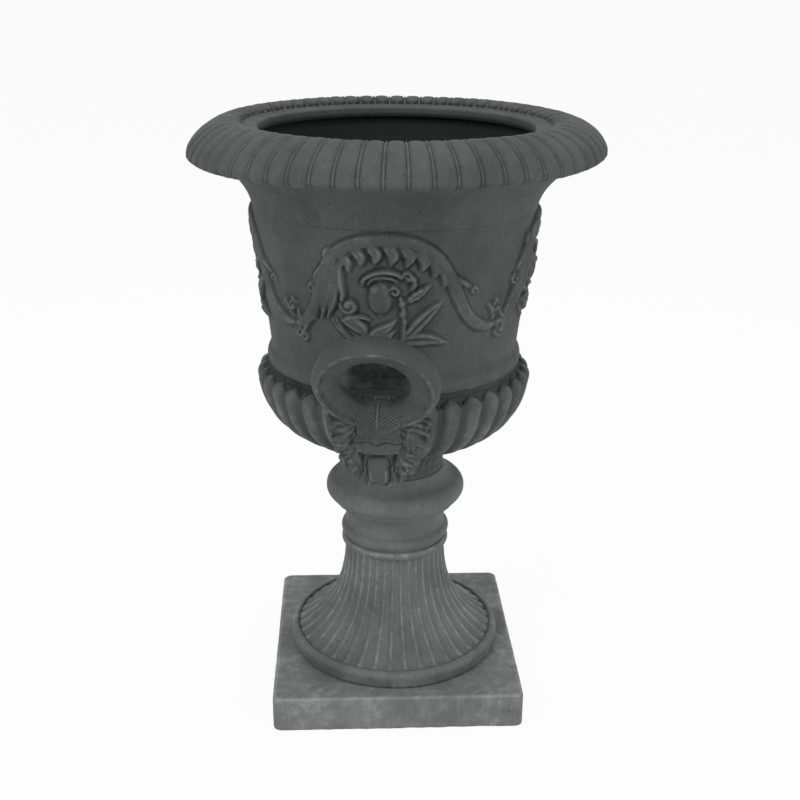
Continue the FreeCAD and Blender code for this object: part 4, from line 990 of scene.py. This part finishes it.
def plinth_grid(sizes):
    """The plinth: each level line runs from a circle at the centre hole to a square with round
    corners. Its sides carry shallow tool marks, slanting strokes made by a wave that noise
    breaks up, and its lower edge is worn wavy. It is hollow underneath."""
    half = sizes.width / MM / 2
    corner, edge = sizes.corner / MM, sizes.edge / MM
    profile = np.concatenate([
        line((ROD_HOLE, PLINTH_ROOF), (ROD_HOLE, PLINTH_TOP), 2),
        line((ROD_HOLE, PLINTH_TOP), (100, PLINTH_TOP), 8),
        line((100, PLINTH_TOP), (half - edge, PLINTH_TOP), 22),
        arc((half - edge, PLINTH_TOP), (half, PLINTH_TOP - edge), -edge * 1.02, 6),
        line((half, PLINTH_TOP - edge), (half, 2.5), 24),
        curve((half, 2.5), (half, 1), (half - 0.6, 0.2), (half - 2.4, 0.2), 3),
        line((half - 2.4, 0.2), (115, 0.2), 3),
        line((115, 0.2), (114, 1.2), 1),
        line((114, 1.2), (114, PLINTH_ROOF), 4),
        line((114, PLINTH_ROOF), (37, PLINTH_ROOF), 6),
        line((37, PLINTH_ROOF), (19, PLINTH_ROOF), 22),
        line((19, PLINTH_ROOF), (ROD_HOLE, PLINTH_ROOF), 3)])
    angle = np.linspace(0, 2 * math.pi, 880, endpoint=False)
    reach, level = profile[:, :1], np.repeat(profile[:, 1:], len(angle), 1)
    squareness = smooth_step(30, 100, reach)
    square = rounded_square(half, corner, angle)[None, :] / half
    radius = reach * (1 + squareness * (square - 1))
    normals = line_normals(profile, closed=True)
    points = turned_about_axis(radius, level, angle[None, :])
    side = smooth_step(0.5, 0.95, normals[:, :1]) * (profile[:, :1] > 120)
    across = np.where(np.abs(points[..., 0]) > np.abs(points[..., 1]), points[..., 1],
                      points[..., 0])
    patches = smooth_step(-0.2, 0.5, lattice_noise(points, 22, 7))
    strokes = np.sin(across / 2.3 + points[..., 2] / 3.4 + 2 * lattice_noise(points, 9, 5))
    marks = sizes.tooling / MM * side * (-0.5 * patches * (0.5 + 0.5 * strokes)
                                         - 0.8 * np.clip(lattice_noise(points, 7, 6), 0, 1))
    low = smooth_step(7, 0, points[..., 2]) * (profile[:, :1] > 118)
    ragged = 0.9 * low * np.clip(lattice_noise(points, 11, 8) + 0.1, 0, 1)
    outward = turned_about_axis(normals[:, :1], normals[:, 1:], angle[None, :])
    off = uneven(points, 0.28) - 0.3 * (profile[:, :1] > 20)
    top = (profile[:, :1] < 128) & (profile[:, 1:] > PLINTH_TOP - 1)
    off = np.where(top & (profile[:, :1] < 112), np.minimum(off, 0) - 0.05, off)
    points = points + outward * (off + marks)[..., None]
    points[..., 2] += ragged
    points[..., 2] = np.maximum(points[..., 2], 0.0)
    under = (np.abs(level - PLINTH_ROOF) < 0.1) & (reach < 45)
    dimple = drain_dimple(points, 12.0)
    points[..., 2] += np.where(under, dimple, 0)
    wear_and_light = np.full(points.shape[:2], 0.55) + 0.15 * lattice_noise(points, 30, 9)
    wear_and_light = wear_and_light + 0.2 * (profile[:, 1:] > PLINTH_TOP - 1)
    wear_and_light = np.where(reach > half - edge - 0.5, wear_and_light + 0.16, wear_and_light)
    wear_and_light = wear_and_light + 0.6 * marks
    wear_and_light = np.where(under & (dimple > 1), 0, wear_and_light)
    return points, np.clip(wear_and_light, 0, 1)


# ---------------------------------------------------------------- ring handles and masks
RING_RADIUS = 46.0
RING_LEAN = math.radians(31)
RING_FOOT = (148.5, 362.4)
RING_HALF_GAP = 19          # from the middle of the foot to each end, in degrees


def ring_grid(turn):
    """A ring handle: a section carried round a circle, open at its foot. The section is a blunt
    oval with a tapered inner face and a raised seam on its front, paler where it is rubbed."""
    section = np.concatenate([
        curve((32.0, 1.4), (32.4, -7), (37, -12.6), (42.5, -12.8), 10),
        line((42.5, -12.8), (49.5, -12.8), 3),
        curve((49.5, -12.8), (56, -12.4), (58.8, -6), (58.8, 0), 12),
        curve((58.8, 0), (58.8, 4.5), (57.6, 9.4), (53.8, 10.8), 12),
        curve((53.8, 10.8), (53.2, 12.0), (51.6, 12.2), (50.8, 10.9), 8),
        curve((50.8, 10.9), (50.2, 9.9), (49.6, 9.3), (48.6, 8.8), 4),
        curve((48.6, 8.8), (44, 8.0), (37, 6.0), (33.4, 3.4), 12),
        curve((33.4, 3.4), (32.6, 2.8), (32.1, 2.2), (32.0, 1.4), 3)])
    seam = np.zeros(len(section))
    seam[37:45] = 1
    seam[46:51] = -0.5
    around = np.linspace(math.radians(RING_HALF_GAP - 90), math.radians(270 - RING_HALF_GAP),
                         300)[:, None]
    radius, proud = section[None, :, 0], section[None, :, 1]
    across = radius * np.cos(around)
    upward = radius * np.sin(around)
    proud = np.broadcast_to(proud, across.shape)
    hub = RING_FOOT[0] + RING_RADIUS * math.sin(RING_LEAN)
    hub_level = RING_FOOT[1] + RING_RADIUS * math.cos(RING_LEAN)
    reach = hub + upward * math.sin(RING_LEAN) + proud * math.cos(RING_LEAN)
    level = hub_level + upward * math.cos(RING_LEAN) - proud * math.sin(RING_LEAN)
    points = np.stack([across, -reach, level], -1)
    middle = np.stack([RING_RADIUS * np.cos(around), -(hub + RING_RADIUS * np.sin(around)
                                                       * math.sin(RING_LEAN)),
                       hub_level + RING_RADIUS * np.sin(around) * math.cos(RING_LEAN)], -1)
    away = points - middle
    away /= np.maximum(np.linalg.norm(away, axis=-1, keepdims=True), 1e-6)
    off = np.minimum(uneven(points, 0.45) - 0.15 * (seam[None, :] == 0), 0.15)
    broken = 0.6 + 0.8 * np.clip(lattice_noise(points, 6, 31), -0.5, 0.6)
    wear_and_light = 0.44 + 0.5 * seam[None, :] * broken + 0.25 * off
    inner = smooth_step(48, 34, radius)
    return turn_points(points + away * off[..., None], turn), wear_and_light - 0.15 * inner


# the face by level: half width, then how far the face reaches from the bowl's axis at equal
# steps from its middle to its side
FACE = np.array([
    (290, 12, 146, 146, 145.5, 145, 143, 140),
    (297, 14, 151, 151, 150.5, 149, 146, 143),
    (308, 17, 155, 155, 154, 151, 147, 144),
    (322, 20, 157, 157, 155.5, 152, 148, 146),
    (326, 21, 156, 156, 155, 152, 150, 147),
    (328.5, 22.5, 163, 163, 162.8, 162, 159.5, 150),
    (336, 23.5, 166, 166, 165.6, 164.6, 161.5, 151),
    (343, 23.5, 166, 166, 165.8, 164.4, 161, 151),
    (346, 23, 167, 165.8, 163.5, 161, 158, 151),
    (354, 23, 166.4, 165, 163.4, 161.6, 159.4, 151.5),
    (362, 23, 165, 164.2, 163.2, 162, 160.2, 152),
    (369, 22.5, 162.6, 162.2, 161.6, 160.8, 159.4, 152),
    (374, 22, 159, 158.8, 158.4, 157.6, 156, 150),
    (379, 21, 151.5, 151.4, 151, 150, 148.6, 144),
    (384, 18, 139, 139, 139, 138.5, 137.6, 135)])
# the mane's edge from its foot up to its top: half width and level
MANE = np.array([
    (0, 286.6), (9, 287.2), (18, 291), (27, 298.5), (34.5, 308), (39.5, 318), (43, 328),
    (46.5, 340), (49, 352), (48, 362), (43.5, 370.5), (34, 376.5), (20, 380), (0, 381)])
MASK_MIDDLE = 340.0


def face_reach(across, level):
    """How far the face reaches at each point: the table read first across and then upward, then
    softened by averaging it over neighbouring points."""
    columns = np.linspace(-30, 30, 121)
    rows = np.linspace(284, 386, 205)
    steps = np.linspace(0, 1, 6)
    lines = np.array([np.interp(np.abs(columns) / row[1], steps, row[2:], right=0)
                      for row in FACE])
    lines = np.where(np.abs(columns)[None, :] > FACE[:, 1:2], 120, lines)
    field = np.stack([np.interp(rows, FACE[:, 0], lines[:, k], left=120, right=120)
                      for k in range(len(columns))], -1)
    kernel = np.exp(-np.arange(-4, 5) ** 2 / 4.0)
    kernel /= kernel.sum()
    for axis in (0, 1):
        field = np.apply_along_axis(lambda v: np.convolve(np.pad(v, 4, "edge"), kernel, "valid"),
                                    axis, field)
    c = np.clip((across + 30) * 2, 0, 119.999)
    r = np.clip((level - 284) * 2, 0, 203.999)
    ci, ri = c.astype(int), r.astype(int)
    cf, rf = c - ci, r - ri
    value = (field[ri, ci] * (1 - cf) * (1 - rf) + field[ri, ci + 1] * cf * (1 - rf)
             + field[ri + 1, ci] * (1 - cf) * rf + field[ri + 1, ci + 1] * cf * rf)
    return np.where((np.abs(across) > 30) | (level < 284) | (level > 386), 120, value)


def ridge(across, level, start, end, width):
    """A soft ridge along a straight line: the bell curve of the distance from it."""
    start, end = np.array(start, float), np.array(end, float)
    way = end - start
    span = np.hypot(*way)
    way /= span
    x, z = across - start[0], level - start[1]
    along = np.clip(x * way[0] + z * way[1], 0, span)
    away = np.hypot(x - along * way[0], z - along * way[1])
    return np.exp(-(away / width) ** 2)


def mane_outline(direction, sizes):
    """How far the mane's edge lies from its middle in each direction, scalloped on the lower
    half beside the tongue."""
    bearing = np.arctan2(MANE[:, 1] - MASK_MIDDLE, MANE[:, 0])
    folded = np.arcsin(np.sin(direction))
    outline = np.interp(folded, bearing, np.hypot(MANE[:, 0], MANE[:, 1] - MASK_MIDDLE))
    scallop = np.abs(np.sin(direction * sizes.locks / 2))
    beside = smooth_step(10, 15, np.abs(outline * np.cos(direction)))
    return outline * (1.02 - 0.11 * lower_half(direction) * beside * (1 - scallop) ** 2)


def lower_half(direction):
    """1 in directions well below the mask's middle and 0 above it."""
    return smooth_step(0.0, -0.35, np.sin(direction))


def mane_reach(across, level, share, sizes):
    """How far the mane reaches from the bowl's axis: fuller beside the face than at its edge,
    with tufts of noise and strands that fan out from the forehead."""
    x = np.abs(across)
    flow = np.arctan2(level - 372, x + 6)
    where = np.stack(np.broadcast_arrays(across, level * 0.6, 0 * across), -1)
    tufts = lattice_noise(where, 8, 21) - 1.3 * np.abs(lattice_noise(where, 6, 22)) + 0.4
    strands = np.cos(46 * flow + 2.2 * lattice_noise(where, 11, 23)) * smooth_step(14, 24, x)
    edge = np.sqrt(np.clip(1 - share ** 5, 0, 1))
    cheek = np.interp(level, FACE[:, 0], FACE[:, 1])
    mane = 145.0 + 3.5 * smooth_step(290, 345, level) + 2.4 * edge - 2.2
    mane = mane + 6.5 * smooth_step(42, 23, x) * smooth_step(288, 325, level) \
        - 5.0 * smooth_step(cheek - 1, cheek - 6, x)
    mane = mane + sizes.lock_depth / MM * tufts + sizes.strands / MM * strands
    return mane + 1.6 * ridge(x, level, (24, 352), (41, 330), 5) + 1.6 * ridge(
        x, level, (20, 318), (33, 312), 4)


def carved_face(across, level):
    """How far the face reaches, with its brows, lips, tongue and cheeks raised or cut in."""
    x = np.abs(across)
    face = face_reach(across, level)
    # three upright ridges on the forehead, and strands that rise outward from the nose
    face = face + 2.0 * ridge(x, level, (0, 347), (0, 376), 1.1)
    face = face + 1.5 * ridge(x, level, (20.5, 358), (21, 375), 1.3)
    rising = np.cos((level - 0.62 * x) * 2 * math.pi / 3.3)
    face = face + 0.5 * rising * smooth_step(1.2, 3, x) * smooth_step(19.5, 17, x) \
        * smooth_step(350.5, 353, level - 0.36 * x) * smooth_step(373, 367, level)
    # brows from the temples to the end of the nose, over a smooth hollow
    face = face + 1.7 * ridge(x, level, (21, 357.5), (2.5, 348.5), 1.5)
    face = face - 1.2 * ridge(x, level, (20, 353.5), (4, 345.8), 1.7)
    # the wavy line of the upper lip
    lip = 341.3 + 1.7 * np.cos((x - 9.5) * math.pi / 11)
    mouth = smooth_step(23.5, 21, x)
    face = face + mouth * (1.0 * np.exp(-((level - lip - 1.0) / 0.9) ** 2)
                           - 1.9 * np.exp(-((level - lip + 1.0) / 1.1) ** 2))
    # the tongue, a rounded block in its hollow
    round_block = ((x / 9.8) ** 4 + ((level - 307.5) / 15.5) ** 4) ** 0.25
    face = face + 3.0 * smooth_step(1.04, 0.72, round_block) \
        - 1.6 * np.exp(-((round_block - 1.1) / 0.09) ** 2)
    # the cheeks' edges, drawn down to the chin
    for start, end in (((22.5, 342), (19.5, 328)), ((19.5, 328), (13.5, 311)),
                       ((13.5, 311), (12, 293))):
        face = face + 1.9 * ridge(x, level, start, end, 1.2)
    return face


def mask_grid(sizes, turn):
    """A beast's mask. A disc of directions and shares of the way out is laid on the outline of
    the mane; its reach is the larger of the mane's and the face's."""
    columns, front = 400, 130
    direction = np.linspace(0, 2 * math.pi, columns, endpoint=False)[None, :]
    share = np.linspace(0.01, 1, front)[:, None]
    outline = mane_outline(direction, sizes)
    across = share * outline * np.cos(direction)
    level = MASK_MIDDLE + share * outline * np.sin(direction)
    reach = np.maximum(mane_reach(across, level, share, sizes), carved_face(across, level))
    points = np.stack(np.broadcast_arrays(across, -reach, level), -1)
    points[..., 1] -= uneven(points, 0.3)
    swell = reach - 0.25 * (np.roll(reach, 3, 1) + np.roll(reach, -3, 1)
                            + np.roll(reach, 3, 0) + np.roll(reach, -3, 0))
    swell[:3], swell[-3:] = 0, 0
    # swellings paler and hollows darker: rubbed wash and dirt, partly painted highlight and shade
    wear_and_light = 0.44 + 0.85 * np.clip(swell, -0.45, 0.6)
    # the mane's lower edge lifted paler as a painted highlight
    lit_low_edge = lower_half(direction) * smooth_step(0.86, 0.97, share)
    wear_and_light = np.clip(wear_and_light + 0.22 * lit_low_edge, 0.05, 1)
    # the sides slope in to the bowl behind
    depth = np.linspace(0, 1, 10)[1:, None, None]
    rim = points[-1:]
    root = np.concatenate([0.8 * rim[..., :1], np.full(rim[..., 1:2].shape, -104.0),
                           MASK_MIDDLE + 14 + 0.62 * (rim[..., 2:] - MASK_MIDDLE)], -1)
    points = np.concatenate([points, rim + depth * (root - rim)])
    wear_and_light = np.concatenate([wear_and_light, np.full((len(depth), columns), 0.25)])
    return turn_points(points, turn), wear_and_light


# ---------------------------------------------------------------- operators
def set_on_pedestal(points, turn):
    """Points of the bowl turned on the pedestal. It was bedded a little off the middle: above
    its foot it leans 2.4 mm to the left, and its rim 1.2 mm less."""
    points = turn_points(points, turn)
    lean = 2.4 * smooth_step(258, 330, points[..., 2]) - 1.2 * smooth_step(535, 590,
                                                                         points[..., 2])
    points[..., 0] -= lean
    return points


class URN_OT_bowl(bpy.types.Operator):
    """Casts the bowl's gadroons and its rim"""
    bl_idname = "urn.bowl"
    bl_label = "Bowl"

    def execute(self, context):
        sizes = context.scene.urn_bowl
        stone = finish_material(cast_stone)
        for name, maker in (("bowl_gadroons", gadroon_grid), ("bowl_rim", rim_grid)):
            points, wear_and_light, smooth_rows = maker(sizes)
            piece_from_grids(name, [set_on_pedestal(points, sizes.turn)], [wear_and_light], True, stone,
                             ["bowl"], smooth_rows)
        return {"FINISHED"}


class URN_OT_frieze(bpy.types.Operator):
    """Casts the bowl's wall with its relief of scrolls and leaves"""
    bl_idname = "urn.frieze"
    bl_label = "Wall and frieze"

    def execute(self, context):
        sizes = context.scene.urn_bowl
        stone = finish_material(cast_stone)
        field = frieze_field()
        for name, low, high in (("bowl_wall_lower", 388.0, 474.0),
                                ("bowl_wall_upper", 474.0, 534.0)):
            points, wear_and_light, outer_rows = wall_grid(sizes, low, high, field)
            piece_from_grids(name, [set_on_pedestal(points, sizes.turn)], [wear_and_light], True, stone,
                             ["bowl"], outer_rows)
        return {"FINISHED"}


class URN_OT_pedestal(bpy.types.Operator):
    """Casts the fluted pedestal"""
    bl_idname = "urn.pedestal"
    bl_label = "Pedestal"

    def execute(self, context):
        points, wear_and_light = pedestal_grid(context.scene.urn_pedestal)
        piece_from_grids("pedestal_casting", [points], [wear_and_light], True,
                         finish_material(cast_stone_foot), ["pedestal"])
        return {"FINISHED"}


class URN_OT_plinth(bpy.types.Operator):
    """Casts the square plinth and tools its sides"""
    bl_idname = "urn.plinth"
    bl_label = "Plinth"

    def execute(self, context):
        points, wear_and_light = plinth_grid(context.scene.urn_plinth)
        piece_from_grids("plinth_casting", [points], [wear_and_light], True,
                         finish_material(cast_stone_plinth), ["plinth"])
        return {"FINISHED"}


class URN_OT_handles(bpy.types.Operator):
    """Sets a ring handle and a beast's mask on the front and on the back"""
    bl_idname = "urn.handles"
    bl_label = "Ring handles and masks"

    def execute(self, context):
        stone = finish_material(cast_stone)
        turn = context.scene.urn_bowl.turn
        for side, way in (("front", 0), ("rear", math.pi)):
            points, wear_and_light = ring_grid(turn + way)
            piece_from_grids(f"{side}_ring", [points], [wear_and_light], False, stone,
                             [f"{side}_ring_handle"])
            points, wear_and_light = mask_grid(context.scene.urn_mask, turn + way)
            piece_from_grids(f"{side}_beast", [points], [wear_and_light], False, stone,
                             [f"{side}_mask"])
        return {"FINISHED"}


class URN_OT_fixings(bpy.types.Operator):
    """Finishes the mortar beds and the zinc-plated tie rod, studs, nuts and washers"""
    bl_idname = "urn.fixings"
    bl_label = "Fixings"

    def execute(self, context):
        shown = {"bedding": bedding_mortar, "tie_": zinc_plate, "stud": zinc_plate}
        for name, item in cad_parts.items():
            for word, maker in shown.items():
                if word in name:
                    item.data.materials.clear()
                    item.data.materials.append(finish_material(maker))
        return {"FINISHED"}


class URN_OT_stage(bpy.types.Operator):
    """Sets up the pale floor, the soft lamps and the camera"""
    bl_idname = "urn.stage"
    bl_label = "Stage"

    def execute(self, context):
        make_floor()
        make_lamps()
        make_camera(context.scene)
        context.scene.view_settings.view_transform = "Standard"
        return {"FINISHED"}


# ---------------------------------------------------------------- stage
def seen_directly(tree):
    """1 for rays from the camera, from a reflection or through glass, and 0 for the rest."""
    path = node(tree, "ShaderNodeLightPath")
    both = maths(tree, "MAXIMUM", path.outputs["Is Camera Ray"], path.outputs["Is Glossy Ray"])
    return maths(tree, "MAXIMUM", both, path.outputs["Is Transmission Ray"])


def make_floor():
    """A pale painted floor that fades into a white world, and keeps the shadow."""
    mesh = bpy.data.meshes.new("studio_floor")
    half = 40.0
    mesh.from_pydata([(-half, -half, 0), (half, -half, 0), (half, half, 0), (-half, half, 0)],
                     [], [(0, 1, 2, 3)])
    floor = bpy.data.objects.new("studio_floor", mesh)
    bpy.context.scene.collection.objects.link(floor)
    material = bpy.data.materials.new("white_floor_paint")
    material.use_nodes = True
    tree = material.node_tree
    tree.nodes.clear()
    paint = node(tree, "ShaderNodeBsdfDiffuse", {"Color": linear("#FAFAFA") + (1,)})
    glow = node(tree, "ShaderNodeEmission", {"Color": (1, 1, 1, 1), "Strength": 1.0})
    share = maths(tree, "MULTIPLY", seen_directly(tree), 0.93)
    both = node(tree, "ShaderNodeMixShader", {0: share, 1: paint.outputs["BSDF"],
                                              2: glow.outputs["Emission"]})
    node(tree, "ShaderNodeOutputMaterial", {"Surface": both.outputs["Shader"]})
    mesh.materials.append(material)

    world = bpy.data.worlds.new("studio_white")
    bpy.context.scene.world = world
    world.use_nodes = True
    tree = world.node_tree
    tree.nodes.clear()
    strength = ranged(tree, seen_directly(tree), 0, 1, 0.42, 1.0)
    sky = node(tree, "ShaderNodeBackground", {"Color": (1, 1, 1, 1), "Strength": strength})
    node(tree, "ShaderNodeOutputWorld", {"Surface": sky.outputs["Background"]})


def make_lamps():
    """Soft lamps: one high on the left, a lower one on the right and one overhead."""
    for name, place, size, power in (("key_lamp", (-1.5, -1.5, 1.9), 1.4, 25),
                                     ("fill_lamp", (1.7, -1.4, 1.1), 1.4, 16),
                                     ("top_lamp", (0.1, 0.3, 2.4), 1.6, 13)):
        data = bpy.data.lights.new(name, "AREA")
        data.shape = "SQUARE"
        data.size = size
        data.energy = power
        lamp = bpy.data.objects.new(name, data)
        bpy.context.scene.collection.objects.link(lamp)
        lamp.location = place
        aim = Vector((0, 0, 0.33)) - Vector(place)
        lamp.rotation_euler = aim.to_track_quat("-Z", "Y").to_euler()


def make_camera(scene):
    """The camera where the picture was taken from: a little to the left, looking down."""
    heading, pitch, roll = (math.radians(a) for a in (-2.691, 21.049, 0.536))
    distance, sideways, height = 1.15648, 0.00442, 0.76622
    back = Vector((math.sin(heading), -math.cos(heading), 0))
    right = Vector((math.cos(heading), math.sin(heading), 0))
    ahead = -back * math.cos(pitch) + Vector((0, 0, -1)) * math.sin(pitch)
    up = right.cross(ahead)
    tilted_right = right * math.cos(roll) + up * math.sin(roll)
    tilted_up = up * math.cos(roll) - right * math.sin(roll)
    turned = Matrix((tilted_right, tilted_up, -ahead)).transposed().to_4x4()
    data = bpy.data.cameras.new("camera")
    data.lens = 52.55
    data.sensor_width = 36
    camera = bpy.data.objects.new("camera", data)
    scene.collection.objects.link(camera)
    camera.matrix_world = Matrix.Translation(back * distance + right * sideways
                                             + Vector((0, 0, height))) @ turned
    scene.camera = camera


# ---------------------------------------------------------------- panel and registration
class URN_PT_panel(bpy.types.Panel):
    """Lists the pieces of the urn with their sizes and colours"""
    bl_idname = "URN_PT_panel"
    bl_label = "Urn planter"
    bl_space_type = "VIEW_3D"
    bl_region_type = "UI"
    bl_category = "Urn"

    def draw(self, context):
        for operator, group in STEPS:
            box = self.layout.box()
            box.operator(operator.bl_idname, text=operator.bl_label)
            if group:
                values = getattr(context.scene, group)
                for name in values.__annotations__:
                    box.prop(values, name)


STEPS = ((URN_OT_bowl, "urn_bowl"), (URN_OT_frieze, None), (URN_OT_pedestal, "urn_pedestal"),
         (URN_OT_plinth, "urn_plinth"), (URN_OT_handles, "urn_mask"),
         (URN_OT_fixings, "urn_finish"), (URN_OT_stage, None))
GROUPS = {"urn_bowl": UrnBowlSizes, "urn_pedestal": UrnPedestalSizes,
          "urn_plinth": UrnPlinthSizes, "urn_mask": UrnMaskSizes, "urn_finish": UrnFinish}
CLASSES = tuple(GROUPS.values()) + tuple(step[0] for step in STEPS) + (URN_PT_panel,)


def register():
    for cls in CLASSES:
        bpy.utils.register_class(cls)
    for name, group in GROUPS.items():
        setattr(bpy.types.Scene, name, PointerProperty(type=group))


def unregister():
    for name in GROUPS:
        delattr(bpy.types.Scene, name)
    for cls in reversed(CLASSES):
        bpy.utils.unregister_class(cls)


def main():
    register()
    for operator, _ in STEPS:
        space, name = operator.bl_idname.split(".")
        getattr(getattr(bpy.ops, space), name)()


if __name__ == "__main__":
    main()
